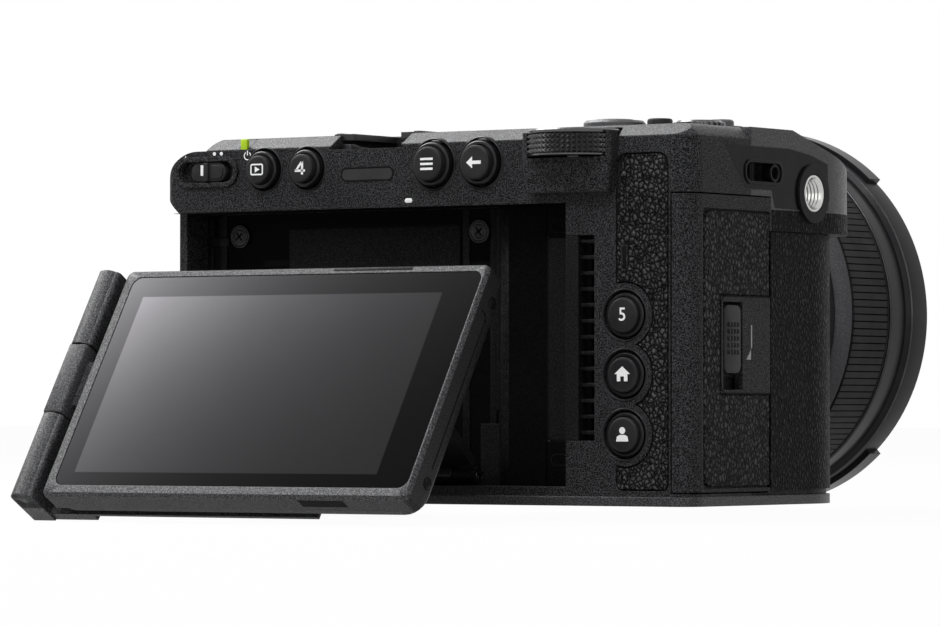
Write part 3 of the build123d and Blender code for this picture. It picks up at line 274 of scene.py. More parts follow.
def ribbed_rubber(name, ribs, depth):
    """Black rubber with fine ribs along the lens axis, the grooves between them painted darker as painted
    shade.
    """
    finish = Finish(name, Specular_IOR_Level=0.3)
    where = finish.place()
    across, up = finish.axis(where, 0), finish.axis(where, 2) - lens_z
    turn = finish.node("Math", {"operation": "ARCTAN2"}, {0: up, 1: across})
    rib = finish.node("Math", {"operation": "SINE"}, {0: turn * ribs}).above(-0.35, 0.35)
    dust = finish.noise(where, 0.5, 4.0)
    # Darker colour in the grooves between ribs is painted shade.
    finish.feed("Base Color", finish.mix(rib * 0.7 + dust * 0.3, grey(0.006), grey(0.024, 0.025)))
    finish.feed("Roughness", 0.6 + (dust - 0.5) * 0.15)
    finish.relief(rib, depth, 0.3)
    return finish.material


def display():
    """The display under its glass: the active area in a black border, under a painted reflection that fades
    to the right and is stronger over the active area.
    """
    finish = Finish("display", Specular_IOR_Level=0.02)
    where = finish.place()
    middle = screen_point(*active_centre, 0)
    across = finish.axis(where, 0) - middle.x
    ahead, high = finish.axis(where, 1) - middle.y, finish.axis(where, 2) - middle.z
    up = ahead * tilt_sin + high * tilt_cos
    half_w, half_h = active_size[0] / 2, active_size[1] / 2
    inside = across.within(half_w) * up.within(half_h)
    mist = finish.noise(where, 14.0, 2.0)
    # Painted reflection in the base colour, brightest at the upper left and fading to the lower right.
    reflection_falloff = across * (0.5 / half_w) - up * (0.25 / half_h) + 1.0654
    painted_reflection = finish.node("Math", {"operation": "POWER"}, {0: 0.05, 1: reflection_falloff})
    tone = painted_reflection * (0.38 + inside * 0.34) + inside * 0.012
    finish.feed("Base Color", finish.mix(tone * (0.96 + mist * 0.08), grey(0.001), (1.0, 0.98, 1.03)))
    finish.feed("Roughness", 0.17 + (mist - 0.5) * 0.02)
    return finish.material


def coated_glass(name, tint, alpha):
    """Lens or window glass with a coloured coating."""
    finish = Finish(name, Roughness=0.02, Coat_Weight=1.0, Coat_Roughness=0.02, Alpha=alpha)
    sweep = finish.noise(finish.place(), 30.0, 1.0)
    finish.feed("Base Color", finish.mix(sweep, tint, tuple(c * 0.5 for c in tint)))
    return finish.material


def circuit():
    """Green board with darker tracks and pale pads."""
    finish = Finish("circuit_board")
    where = finish.place()
    sockets = {"Vector": where, "Scale": 0.25, "Mortar Size": 0.05}
    tracks = finish.node("TexBrick", {"offset": 0.5}, sockets, out=1)
    pads = finish.cells(where, 2.4, "F1")
    board = finish.mix(tracks, (0.012, 0.09, 0.035), (0.03, 0.16, 0.07))
    finish.feed("Base Color", finish.mix(1 - pads.above(0.16, 0.2), board, (0.55, 0.5, 0.35)))
    finish.feed("Roughness", 0.4 + pads * 0.1)
    return finish.material


# ---- Planes that flat drawings are placed on
def facing(origin, across, out):
    """Matrix from a flat drawing to a plane: its x runs across and its z points out."""
    x, z = Vector(across).normalized(), Vector(out).normalized()
    y = z.cross(x)
    return Matrix.Translation(Vector(origin)) @ Matrix((x, y, z)).transposed().to_4x4()


def rear_face(x, z, y=rear_y):
    return facing((x, y, z), (1, 0, 0), (0, -1, 0))


def front_face(x, z):
    return facing((x, front_y, z), (-1, 0, 0), (0, 1, 0))


def side_face(y, z, x=side_x):
    return facing((x, y, z), (0, 1, 0), (1, 0, 0))


def top_face(x, y, z=deck_z):
    return facing((x, y, z), (1, 0, 0), (0, 0, 1))


def screen_point(x, up, depth):
    """Point in the shared frame from one on the rear screen: x, distance up its face, depth into it."""
    shell_low, shell_high = (Vector(c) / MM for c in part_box("screen_shell"))
    foot_z = shell_high.z - screen_height * tilt_cos
    return Vector((x, shell_low.y + up * tilt_sin + depth * tilt_cos,
                   foot_z + up * tilt_cos - depth * tilt_sin))


def screen_face(x, up):
    return facing(screen_point(x, up, 0), (1, 0, 0), (0, -tilt_cos, tilt_sin))


def screen_side(up, depth):
    """Plane on the screen's right edge, its x running into the screen and its y up it."""
    right = screen_centre_x + screen_width / 2
    return facing(screen_point(right, up, depth), (0, tilt_cos, -tilt_sin), (1, 0, 0))


def up_screen(up):
    """Plane square to the hinge barrel: x runs right and y into the screen."""
    return facing(screen_point(0, up, 0), (1, 0, 0), (0, tilt_sin, tilt_cos))


def on_ring(radius, ahead, turn):
    """Plane on the lens at an angle in degrees round it, its y pointing back along the axis."""
    out = Vector((cos(radians(turn)), 0, sin(radians(turn))))
    return facing(Vector((0, mount_y + ahead, lens_z)) + out * radius, Vector((0, -1, 0)).cross(out), out)


def shifted(place, x=0.0, y=0.0, z=0.0):
    return place @ Matrix.Translation((x, y, z))


def rolled(place, turn):
    return place @ Matrix.Rotation(turn, 4, "Z")


# ---- Shapes
def placed(bm, place):
    """Turns a finished bmesh into a mesh in metres in the shared frame."""
    bmesh.ops.remove_doubles(bm, verts=bm.verts[:], dist=shape_gap)
    bmesh.ops.recalc_face_normals(bm, faces=bm.faces[:])
    bmesh.ops.transform(bm, matrix=Matrix.Scale(MM, 4) @ place, verts=bm.verts[:])
    mesh = bpy.data.meshes.new("shape")
    bm.to_mesh(mesh)
    bm.free()
    return mesh


def softened(bm, geom, radius, segments, affect="EDGES", clamp=True):
    bmesh.ops.bevel(bm, geom=geom, offset=radius, offset_type="OFFSET", segments=segments, profile=0.5,
                    affect=affect, material=-1, clamp_overlap=clamp)


def spun(profile, steps, closed=False):
    """Full turn about the z axis of a line of (radius, height) points."""
    bm = bmesh.new()
    chain = [bm.verts.new((r, 0, h)) for r, h in profile]
    for a, b in zip(chain, chain[1:] + chain[:1] if closed else chain[1:]):
        bm.edges.new((a, b))
    bmesh.ops.spin(bm, geom=bm.verts[:] + bm.edges[:], cent=(0, 0, 0), axis=(0, 0, 1), dvec=(0, 0, 0),
                   angle=2 * pi, steps=steps, use_merge=True, use_duplicate=False)
    bm.faces.ensure_lookup_table()
    return bm


def turned(profile, place, steps=96, closed=False):
    return placed(spun(profile, steps, closed), place)


def ring(inner, outer, low, high, place, edge=0.2, steps=96):
    """Ring with softened edges."""
    profile = [(inner, low), (outer, low), (outer, high - edge), (outer - edge, high), (inner + edge, high),
               (inner, high - edge)]
    return turned(profile, place, steps, closed=True)


def round_plate(radius, low, high, place, steps=32):
    return turned([(0, low), (radius, low), (radius, high), (0, high)], place, steps)


def knurled(radius, low, high, rows, columns, stand, place):
    """Drum wall covered in pyramids."""
    bm = spun([(radius, low + (high - low) * i / rows) for i in range(rows + 1)], columns)
    face = bm.faces[0]
    outward = face.normal.dot(face.calc_center_median()) > 0
    bmesh.ops.poke(bm, faces=bm.faces[:], offset=stand if outward else -stand)
    return placed(bm, place)


def block_ribs(radius, low, high, count, gap_width, stand, place):
    """Raised blocks all round a drum, parted by narrow grooves."""
    bm = spun([(radius, low), (radius, high)], count)
    face = bm.faces[0]
    outward = face.normal.dot(Vector((*face.calc_center_median().xy, 0))) > 0
    bmesh.ops.inset_individual(bm, faces=bm.faces[:], thickness=gap_width, depth=stand if outward else -stand)
    return placed(bm, place)


def rectangle(x0, y0, x1, y1):
    return [(x0, y0), (x1, y0), (x1, y1), (x0, y1)]


def rounded_outline(bm, width, height, radius, segments=6):
    """Flat face with rounded corners."""
    corners = rectangle(-width / 2, -height / 2, width / 2, height / 2)
    face = bm.faces.new([bm.verts.new((x, y, 0)) for x, y in corners])
    softened(bm, list(face.verts), radius, segments, "VERTICES", clamp=False)


def layered(width, height, radius, layers, place, segments=6):
    """Slab with rounded corners, built up through layers of (height above the plane, inset)."""
    bm = bmesh.new()
    rounded_outline(bm, width, height, radius, segments)
    loop = bm.edges[:]
    level, inset = layers[0]
    half = Vector((width / 2, height / 2))
    bmesh.ops.scale(bm, vec=((half.x - inset) / half.x, (half.y - inset) / half.y, 1), verts=bm.verts[:])
    bmesh.ops.translate(bm, vec=(0, 0, level), verts=bm.verts[:])
    for next_level, next_inset in layers[1:]:
        made = bmesh.ops.extrude_edge_only(bm, edges=loop)["geom"]
        loop = [e for e in made if isinstance(e, bmesh.types.BMEdge)]
        verts = [v for v in made if isinstance(v, bmesh.types.BMVert)]
        grow = ((half.x - next_inset) / (half.x - inset), (half.y - next_inset) / (half.y - inset), 1)
        bmesh.ops.scale(bm, vec=grow, verts=verts)
        bmesh.ops.translate(bm, vec=(0, 0, next_level - level), verts=verts)
        level, inset = next_level, next_inset
    bmesh.ops.edgeloop_fill(bm, edges=loop)
    return placed(bm, place)


def pill(length, height, thick, place, rim):
    """Bar with round ends and a softened rim."""
    layers = [(0, 0), (thick - rim, 0), (thick - rim / 3, rim / 3), (thick, rim)]
    return layered(length, height, height / 2 - 0.01, layers, place, 10)


def raised(bm, thick, rim=0.0, direction=(0, 0, 1)):
    """Gives the flat faces of a drawing a thickness and softens the new upper rim."""
    made = bmesh.ops.extrude_face_region(bm, geom=bm.faces[:])["geom"]
    top = [v for v in made if isinstance(v, bmesh.types.BMVert)]
    bmesh.ops.translate(bm, vec=Vector(direction) * thick, verts=top)
    if rim:
        above = [f for f in made if isinstance(f, bmesh.types.BMFace)]
        upper = [e for e in bm.edges
                 if sum(f in above for f in e.link_faces) == 1 and all(v in top for v in e.verts)]
        softened(bm, upper, rim, 3)


def plate(points, thick, place, corner=0.0, rim=0.0, segments=4, only=None):
    """Flat plate of an outline, some or all of its corners rounded and its upper rim softened."""
    bm = bmesh.new()
    chain = [bm.verts.new((x, y, 0)) for x, y in points]
    bm.faces.new(chain)
    if corner:
        softened(bm, chain if only is None else [chain[i] for i in only], corner, segments, "VERTICES")
    raised(bm, thick, rim)
    return placed(bm, place)


def frame_line(width, height, radius, line, thick, place, rim=0.0):
    """Raised frame with rounded corners."""
    bm = bmesh.new()
    rounded_outline(bm, width, height, radius, 8)
    bmesh.ops.inset_region(bm, faces=bm.faces[:], thickness=line, use_even_offset=True, use_boundary=True)
    bm.faces.ensure_lookup_table()
    bmesh.ops.delete(bm, geom=[max(bm.faces, key=lambda f: len(f.verts))], context="FACES")
    raised(bm, thick, rim)
    return placed(bm, place)


def brick(low, high, edge=0.2, place=None):
    """Block between two corners with softened edges."""
    bm = bmesh.new()
    bmesh.ops.create_cube(bm, size=1.0)
    low, high = Vector(low), Vector(high)
    bmesh.ops.scale(bm, vec=high - low, verts=bm.verts[:])
    bmesh.ops.translate(bm, vec=(low + high) / 2, verts=bm.verts[:])
    if edge:
        softened(bm, bm.edges[:], edge, 2)
    return placed(bm, place or Matrix())


def recess_slab(x0, x1, z0, z1, depth, stand, edge=0.0):
    """Slab lying on a floor of the recess at a depth ahead of the rear plane."""
    return brick((x0, rear_y + depth - stand, z0), (x1, rear_y + depth + 0.02, z1), edge)


def hole_line(points, width, place, thick):
    """Narrow dark line along a path on a plane, for a seam."""
    bars = []
    for (x0, y0), (x1, y1) in zip(points, points[1:]):
        length = Vector((x1 - x0, y1 - y0)).length + width
        middle = rolled(shifted(Matrix(), (x0 + x1) / 2, (y0 + y1) / 2), atan2(y1 - y0, x1 - x0))
        corner = Vector((length / 2, width / 2, thick))
        bars.append(brick(-corner, corner, 0, place @ middle))
    return bars


def arc_band(radius, width, thick, start, sweep, place, steps=32):
    """Flat curved band, part of a circle, from a start and over a sweep in degrees."""
    bm = bmesh.new()
    turn = Matrix.Rotation(radians(start), 4, "Z")
    corners = rectangle(radius - width / 2, 0, radius + width / 2, thick)
    face = bm.faces.new([bm.verts.new(turn @ Vector((r, 0, h))) for r, h in corners])
    bmesh.ops.spin(bm, geom=[face] + bm.edges[:] + bm.verts[:], cent=(0, 0, 0), axis=(0, 0, 1),
                   dvec=(0, 0, 0), angle=radians(sweep), steps=steps, use_duplicate=False)
    return placed(bm, place)


def bar(points, length, place, rim):
    """Bar of a constant section with both ends softened."""
    bm = bmesh.new()
    bm.faces.new([bm.verts.new((x, y, 0)) for x, y in points])
    raised(bm, length)
    softened(bm, [e for e in bm.edges if abs(e.verts[0].co.z - e.verts[1].co.z) < 0.001], rim, 3)
    return placed(bm, place)


def lofted(loops, place, close_top):
    """Closed skin through rounded rectangles of (width, height, radius, level, x and y of the centre)."""
    bm = bmesh.new()
    rims = []
    for width, height, radius, level, *centre in loops:
        known = set(bm.edges)
        rounded_outline(bm, width, height, radius)
        rim = [e for e in bm.edges if e not in known]
        corners = list({v for e in rim for v in e.verts})
        bmesh.ops.translate(bm, vec=(*(centre or (0, 0)), level), verts=corners)
        flat = [f for f in bm.faces if all(v in corners for v in f.verts)]
        bmesh.ops.delete(bm, geom=flat, context="FACES_ONLY")
        rims.append(rim)
    for a, b in zip(rims, rims[1:]):
        bmesh.ops.bridge_loops(bm, edges=a + b)
    bmesh.ops.edgeloop_fill(bm, edges=rims[0])
    if close_top:
        bmesh.ops.edgeloop_fill(bm, edges=rims[-1])
    return placed(bm, place)


def written(words, size, place, weight=0.0, thick=0.05):
    """Raised print of plain numerals, centred on the place."""
    curve = bpy.data.curves.new("words", "FONT")
    curve.body, curve.size, curve.offset = words, size, weight
    curve.align_x, curve.align_y, curve.extrude = "CENTER", "CENTER", thick / 2
    curve.resolution_u = 4
    writing = bpy.data.objects.new("words", curve)
    bm = bmesh.new()
    bm.from_mesh(bpy.data.meshes.new_from_object(writing))
    bpy.data.objects.remove(writing)
    bpy.data.curves.remove(curve)
    return placed(bm, place)


def pan_head(place, radius, stand):
    """Low round screw head."""
    profile = [(0, -0.6), (radius, -0.6), (radius, stand * 0.4), (radius * 0.8, stand * 0.9),
               (radius * 0.4, stand), (0, stand)]
    return turned(profile, place, 32)


def cross_arms(place, radius, stand):
    """The two arms of a screw's cross recess, as thin bars that carry its painted shade."""
    reach, half = radius * 0.62, radius * 0.13
    return [brick((-reach, -half, stand - 0.05), (reach, half, stand + 0.02), 0.02,
                  rolled(place, radians(turn))) for turn in (38, 128)]


def copied(node):
    """A CAD node's mesh in millimetres, its loose triangles merged."""
    bm = bmesh.new()
    bm.from_mesh(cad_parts[node].data)
    bmesh.ops.scale(bm, vec=(1 / MM, 1 / MM, 1 / MM), verts=bm.verts[:])
    bmesh.ops.remove_doubles(bm, verts=bm.verts[:], dist=copy_gap)
    return bm


def rear_leather_copy(inset, thick, rim):
    """Panel from the rear leather's outer faces: drawn in all round and thickened outwards."""
    bm = copied("rear_leather")
    back = Vector((0, -1, 0))
    lost = [f for f in bm.faces if f.normal.dot(back) < 0.98 or f.calc_center_median().y > rear_y + 0.05]
    bmesh.ops.delete(bm, geom=lost, context="FACES")
    bmesh.ops.dissolve_limit(bm, angle_limit=radians(1), verts=bm.verts[:], edges=bm.edges[:])
    made = bmesh.ops.inset_region(bm, faces=bm.faces[:], thickness=inset, use_even_offset=True,
                                  use_boundary=True)["faces"]
    bmesh.ops.delete(bm, geom=made, context="FACES")
    bmesh.ops.translate(bm, vec=-back * thick, verts=bm.verts[:])
    raised(bm, thick, rim, back)
    return placed(bm, Matrix())


def head_leather():
    """Skin over the lower side of the grip's head, copied from the cover."""
    bm = copied("top_cover")
    middle, thick = Vector((53.0, 23.5)), 0.12
    highest, lowest, inmost, rearmost = 76, 61.9, 46, -0.6
    lost = []
    for face in bm.faces:
        centre, normal = face.calc_center_median(), face.normal
        outward = normal.x * (centre.x - middle.x) + normal.y * (centre.y - middle.y)
        beside = centre.z > highest or centre.y < rearmost - 0.4 or centre.x < inmost
        if abs(normal.z) > 0.75 or outward <= 0 or beside:
            lost.append(face)
    bmesh.ops.delete(bm, geom=lost, context="FACES")
    for point, normal, sides in (((0, 0, lowest), (0, 0, 1), {"clear_outer": True}),
                                 ((0, rearmost, 0), (0, 1, 0), {"clear_inner": True})):
        bmesh.ops.bisect_plane(bm, geom=bm.verts[:] + bm.edges[:] + bm.faces[:], plane_co=point,
                               plane_no=normal, **sides)
    bmesh.ops.solidify(bm, geom=bm.faces[:], thickness=-thick)
    return placed(bm, Matrix())


def piece(name, body, slot, finish, *shapes, replaces=(), crease=35):
    """One object from several shapes, riding on a body, smooth except across sharp creases."""
    bm = bmesh.new()
    for shape in shapes:
        bm.from_mesh(shape)
        bpy.data.meshes.remove(shape)
    for face in bm.faces:
        face.smooth = True
    for edge in bm.edges:
        edge.smooth = edge.is_manifold and edge.calc_face_angle(0) < radians(crease)
    mesh = bpy.data.meshes.new(name)
    bm.to_mesh(mesh)
    bm.free()
    mesh.materials.append(finish)
    made = bpy.data.objects.new(name, mesh)
    bpy.context.scene.collection.objects.link(made)
    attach(made, body)
    if replaces:
        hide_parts(*replaces)
    return made


def fixed(name, slot, finish, *shapes, **more):
    """A piece that stays on the camera body."""
    return piece(name, "camera_body", slot, finish, *shapes, **more)


# ---- Materials of the object
body_black = grained("body_black", grey(0.003), grey(0.060, 0.064), 0.52, gloss=0.05)
# A lighter copy of the body's grain: painted light on the top cover; the base plate and battery door share
# it.
lit_copy_black = grained("lit_copy_black", grey(0.008, 0.009), grey(0.080, 0.084), 0.44, edge=0.6, gloss=0.2)
# Lit and shaded copies of one grain: the bezel's is painted lighter as painted light, the shell's darker as
# painted shade on its sides and underside.
lit_bezel_black = grained("lit_bezel_black", grey(0.006, 0.007), grey(0.095, 0.100), 0.46, 0.3, edge=0.2, gloss=0.2)
shaded_shell_black = grained("shaded_shell_black", grey(0.002), grey(0.024, 0.026), 0.48, 0.3, edge=0.2)
# Near black laid over the screen recess as painted shade; also used on hidden inner parts.
recess_shade_black = grained("recess_shade_black", grey(0.001), grey(0.004), 0.70, gloss=0.03)
shoulder_black = smooth_part("shoulder_black", grey(0.004, 0.005), grey(0.008, 0.009), 0.22, gloss=0.06)
vent_black = grained("vent_black", grey(0.002), grey(0.016, 0.017), 0.55, gloss=0.08)
button_black = smooth_part("button_black", grey(0.010, 0.011), grey(0.018, 0.019), 0.44, gloss=0.14)
collar_black = smooth_part("collar_black", grey(0.006, 0.007), grey(0.012, 0.013), 0.34, gloss=0.2)
rear_hide = hide("rear_hide", grey(0.120, 0.125), 0.95, 0.85)
# The grip's copy of the leather is painted far darker than the rear and door copies: painted shade.
shaded_grip_hide = hide("shaded_grip_hide", grey(0.030, 0.032), 0.9, 0.62)
door_hide = hide("door_hide", grey(0.115, 0.120), 0.95, 0.72)
ring_black = smooth_part("ring_black", grey(0.005, 0.006), grey(0.009, 0.010), 0.30, edge=0.3, gloss=0.14)
ring_grey = grained("ring_grey", grey(0.040, 0.043), grey(0.085, 0.09), 0.45, 0.22, 0.02)
barrel_black = grained("barrel_black", grey(0.005, 0.006), grey(0.026, 0.028), 0.45, 0.3, 0.02, gloss=0.07)
zoom_rubber = smooth_part("zoom_rubber", grey(0.012), grey(0.022), 0.5, edge=0.06, gloss=0.06)
focus_rubber = ribbed_rubber("focus_rubber", 120, 0.5)
dial_black = smooth_part("dial_black", grey(0.010, 0.011), grey(0.020, 0.021), 0.20, edge=0.03, gloss=1.0)
knob_grey = grained("knob_grey", grey(0.030, 0.032), grey(0.085, 0.09), 0.42, 0.26, gloss=0.5)
steel = brushed("steel", grey(0.62, 0.60), grey(0.40, 0.39), 0.24, 1)
dark_steel = brushed("dark_steel", grey(0.10, 0.105), grey(0.04, 0.043), 0.36, 0)
shoe_metal = smooth_part("shoe_metal", grey(0.028, 0.030), grey(0.045, 0.048), 0.30, metallic=0.6)
white_print = printed("white_print", grey(0.86))
grey_print = printed("grey_print", grey(0.30, 0.31))
lime_print = printed("lime_print", (0.36, 0.55, 0.0))
lamp_window = smooth_part("lamp_window", grey(0.018, 0.019), grey(0.026, 0.028), 0.3, gloss=0.2)
# Near black: dark joints along seams, and painted shade for holes, slots, screw crosses and gaps drawn flat
# or closed below.
seam_and_hole_shade = smooth_part("seam_and_hole_shade", grey(0.002), grey(0.004), 0.8, gloss=0.1)
lens_coat = coated_glass("lens_coat", (0.02, 0.03, 0.06), 0.55)
battery_grey = grained("battery_grey", grey(0.05, 0.054), grey(0.09, 0.095), 0.5)
milled = brushed("milled", grey(0.5, 0.51), grey(0.36, 0.37), 0.35, 2)
sensor_face = coated_glass("sensor_face", (0.05, 0.10, 0.08), 1.0)
display_face = display()
board_green = circuit()

cad_finishes = {
    body_black: "rear_casing front_casing side_door port_cover grip_shell",
    lit_copy_black: "top_cover base_plate battery_door",
    rear_hide: "rear_leather",
    shaded_grip_hide: "grip_leather",
    door_hide: "door_leather",
    vent_black: "vent_cover hinge_base",
    shoulder_black: "shoulder_trim strap_pin",
    shoe_metal: "accessory_shoe tilt_arm",
    steel: "mount_ring tripod_socket side_socket lower_pin upper_pin",
    dark_steel: "case_screws door_latch",
    recess_shade_black: "port_block fan_housing fan_rotor",
    lit_bezel_black: "screen_cradle hinge_block screen_shell",
    button_black: "playback_button four_button menu_button back_button five_button home_button user_button "
                  "power_slider small_button lens_release",
    dial_black: "rear_dial",
    knob_grey: "control_disc top_dial zoom_lever record_button",
    lime_print: "status_lamp",
    lamp_window: "indicator_bar",
    barrel_black: "lens_barrel",
    ring_black: "front_ring",
    zoom_rubber: "zoom_ring",
    focus_rubber: "focus_ring",
    lens_coat: "front_element rear_element",
    display_face: "screen_glass lcd_panel",
    milled: "sensor_frame",
    sensor_face: "image_sensor",
    board_green: "main_board",
    battery_grey: "battery memory_card",
}
for finish, nodes in cad_finishes.items():
    for name in nodes.split():
        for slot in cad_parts[name].material_slots:
            slot.material = finish


# ---- Camera and studio
def add_camera():
    camera = bpy.data.cameras.new("view")
    camera.sensor_width = 36.0
    camera.lens = camera.sensor_width * view_focal_px / photo_width
    camera.clip_start, camera.clip_end = 0.01, 50.0
    taken = bpy.data.objects.new("view", camera)
    bpy.context.scene.collection.objects.link(taken)
    across = Vector((cos(view_turn), sin(view_turn), 0))
    level = Vector((-sin(view_turn), cos(view_turn), 0))
    ahead = level * cos(view_rise) + Vector((0, 0, sin(view_rise)))
    turn = Matrix((across, across.cross(ahead), -ahead)).transposed().to_4x4()
    taken.matrix_world = Matrix.Translation(view_place * MM) @ turn
    bpy.context.scene.camera = taken


def add_lamp(name, place, size, power):
    lamp = bpy.data.lights.new(name, "AREA")
    lamp.shape, lamp.size, lamp.size_y, lamp.energy = "RECTANGLE", size[0], size[1], power
    held = bpy.data.objects.new(name, lamp)
    bpy.context.scene.collection.objects.link(held)
    away = (Vector(place) - lamp_target).normalized()
    held.matrix_world = Matrix.Translation(place) @ away.to_track_quat("Z", "Y").to_matrix().to_4x4()


def seen_directly(tree):
    """1 for camera, mirror and glass rays, which meet the white paper, and 0 for the rest."""
    path = tree.nodes.new("ShaderNodeLightPath")
    total = path.outputs["Is Camera Ray"]
    for kind in ("Is Glossy Ray", "Is Transmission Ray"):
        add = tree.nodes.new("ShaderNodeMath")
        add.operation, add.use_clamp = "ADD", True
        tree.links.new(total, add.inputs[0])
        tree.links.new(path.outputs[kind], add.inputs[1])
        total = add.outputs[0]
    return total


def mix_shaders(tree, factor, low, high, ending):
    mixed = tree.nodes.new("ShaderNodeMixShader")
    for socket, made in enumerate((factor, low.outputs[0], high.outputs[0])):
        tree.links.new(made, mixed.inputs[socket])
    tree.links.new(mixed.outputs[0], ending)


def floor_paper():
    """Pale paper that glows white for the camera except where the object shades it."""
    finish = Finish("floor_paper", Roughness=0.9, Specular_IOR_Level=0.0)
    tone = finish.noise(finish.place(), 400.0, 2.0)
    finish.feed("Base Color", finish.mix(tone, grey(0.46), grey(0.50)))
    tree = finish.tree
    share = tree.nodes.new("ShaderNodeMath")
    share.operation = "MULTIPLY"
    share.inputs[1].default_value = floor_glow
    tree.links.new(seen_directly(tree), share.inputs[0])
    mix_shaders(tree, share.outputs[0], finish.surface, tree.nodes.new("ShaderNodeEmission"),
                tree.nodes["Material Output"].inputs["Surface"])
    return finish.material


def add_studio():
    """White surroundings, a plain pale floor and soft lamps."""
    world = bpy.data.worlds.new("studio")
    bpy.context.scene.world = world
    world.use_nodes = True
    tree = world.node_tree
    paper, room = tree.nodes["Background"], tree.nodes.new("ShaderNodeBackground")
    for shade, strength in ((paper, paper_strength), (room, room_strength)):
        shade.inputs[0].default_value = (1, 1, 1, 1)
        shade.inputs[1].default_value = strength
    mix_shaders(tree, seen_directly(tree), room, paper, tree.nodes["World Output"].inputs[0])

    floor_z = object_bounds()[0][2] / MM
    floor = fixed("floor", "casing", floor_paper(), brick((-floor_half, -floor_half, floor_z - floor_thick),
                                                          (floor_half, floor_half, floor_z), 0))
    for lamp in lamps:
        add_lamp(*lamp)


add_camera()


# ---- Round buttons on the strip and beside the leather
def round_button(control, x, z, radius, stand):
    """Cap on its stem, the collar round it and the lip of its well."""
    name, place = control + "_button", rear_face(x, z)
    cap = turned([(0, -4.2), (1.6, -4.2), (1.6, -1.15), (radius, -1.15), (radius, stand - 0.5),
                  (radius - 0.1, stand - 0.2), (radius - 0.35, stand - 0.03), (radius - 0.7, stand),
                  (0, stand)], place, 72)
    piece(name + "_cap", name, "button", button_black, cap, replaces=[name])
    rise = max(stand - 1.4, 0.15)
    inner, outer = radius + 0.15, radius + 0.95
    collar = turned([(inner, -1.95), (outer, -1.95), (outer, rise - 0.25), (outer - 0.25, rise),
                     (inner + 0.1, rise), (inner, rise - 0.1)], place, 72, closed=True)
    inner, outer = radius + 1.5, radius + 2.0
    lip = turned([(inner, -0.8), (inner, 0.16), (inner + 0.14, 0.28), (outer - 0.25, 0.26), (outer, -0.05),
                  (outer, -0.8)], place, 72, closed=True)
    fixed(name + "_collar", "casing", collar_black, collar, lip)
    return rear_face(x, z, rear_y - stand)


def mark(control, *shapes):
    """Print on the cap of a round button."""
    piece("mark_" + control, control + "_button", "button", white_print, *shapes)


caps = {control: round_button(control, x, z, radius, stand) for control, x, z, radius, stand in (
    ("playback", -29.6, strip_button_z, 3.05, 2.8), ("four", -18.0, strip_button_z, 3.05, 2.8),
    ("menu", 15.2, strip_button_z, 3.7, 2.8), ("back", 27.3, strip_button_z, 3.7, 2.8),
    ("five", side_button_x, 39.5, 3.65, 1.0), ("home", side_button_x, 27.2, 3.65, 1.0),
    ("user", side_button_x, 14.8, 3.65, 1.0))}
mark("playback", frame_line(3.4, 2.5, 0.5, 0.32, print_thick, caps["playback"]),
     plate([(-0.5, -0.65), (0.75, 0), (-0.5, 0.65)], print_thick, caps["playback"]))
mark("four", *[plate(points, print_thick, caps["four"]) for points in (
    rectangle(0.3, -1.4, 0.85, 1.5), rectangle(-1.35, -0.8, 1.35, -0.3),
    [(-1.35, -0.55), (-0.75, -0.55), (0.85, 1.5), (0.25, 1.5)])])
mark("menu", *[plate(rectangle(-1.6, h - 0.24, 1.6, h + 0.24), print_thick, caps["menu"])
               for h in (-1.05, 0, 1.05)])
mark("back", plate([(-1.9, 0), (-0.4, -1.25), (-0.4, -0.36), (1.8, -0.36), (1.8, 0.36), (-0.4, 0.36),
                    (-0.4, 1.25)], print_thick, caps["back"]))
mark("five", written("5", 3.9, caps["five"], weight=0.03))
mark("home", plate([(-1.3, -1.4), (-0.45, -1.4), (-0.45, -0.4), (0.45, -0.4), (0.45, -1.4), (1.3, -1.4),
                    (1.3, 0.1), (1.9, 0.1), (0, 1.7), (-1.9, 0.1), (-1.3, 0.1)], print_thick, caps["home"]))
mark("user", round_plate(0.72, 0, print_thick, shifted(caps["user"], y=0.85)),
     plate([(-1.5, -1.4), (1.5, -1.4), (1.3, -0.4), (0.6, -0.05), (-0.6, -0.05), (-1.3, -0.4)], print_thick,
           caps["user"]))

# ---- Power slider in its raised pill-shaped collar, the marks round it and the indicator bar's surround
fixed("switch_collar", "casing", body_black,
      frame_line(17.0, 6.7, 3.3, 1.05, 0.7, rear_face(-45.1, 71.8), 0.3))
piece("slider_knob", "power_slider", "slider", button_black,
      pill(9.4, 4.2, 1.7, rear_face(-44.6, 71.8, rear_y + 1.3), 0.25),
      brick((-1.0, -2.0, -1.2), (0.25, 2.0, 1.1), 0.15, rear_face(-44.5, 71.8)),
      plate(rectangle(0, -1.5, 3.2, 1.5), 0.45, rear_face(-43.7, 71.8, rear_y - 0.3), 1.2, 0.2, 8, (1, 2)),
      replaces=["power_slider"])
piece("slider_mark", "power_slider", "slider", white_print,
      plate(rectangle(-0.36, -1.15, 0.36, 1.15), print_thick, rear_face(-46.3, 72.2, rear_y - 0.4), 0.12))
power = rear_face(-34.2, 75.1)
fixed("strip_marks", "casing", white_print,
      *[round_plate(0.42, -0.05, print_thick, rear_face(x, 75.75), 24) for x in (-43.2, -41.3)],
      brick((-0.14, -0.45, -0.05), (0.14, 0.45, print_thick), 0, rear_face(-51.1, 75.0)),
      arc_band(0.85, 0.22, print_thick, 125, 290, power),
      brick((-0.12, 0.1, 0), (0.12, 1.15, print_thick), 0, power),
      pill(1.9, 0.95, 0.06, rear_face(8.6, 64.4), 0.02))
fixed("indicator_edge", "casing", seam_and_hole_shade, frame_line(13.9, 3.1, 1.5, 0.3, 0.06, rear_face(-2.3, 70.3)))

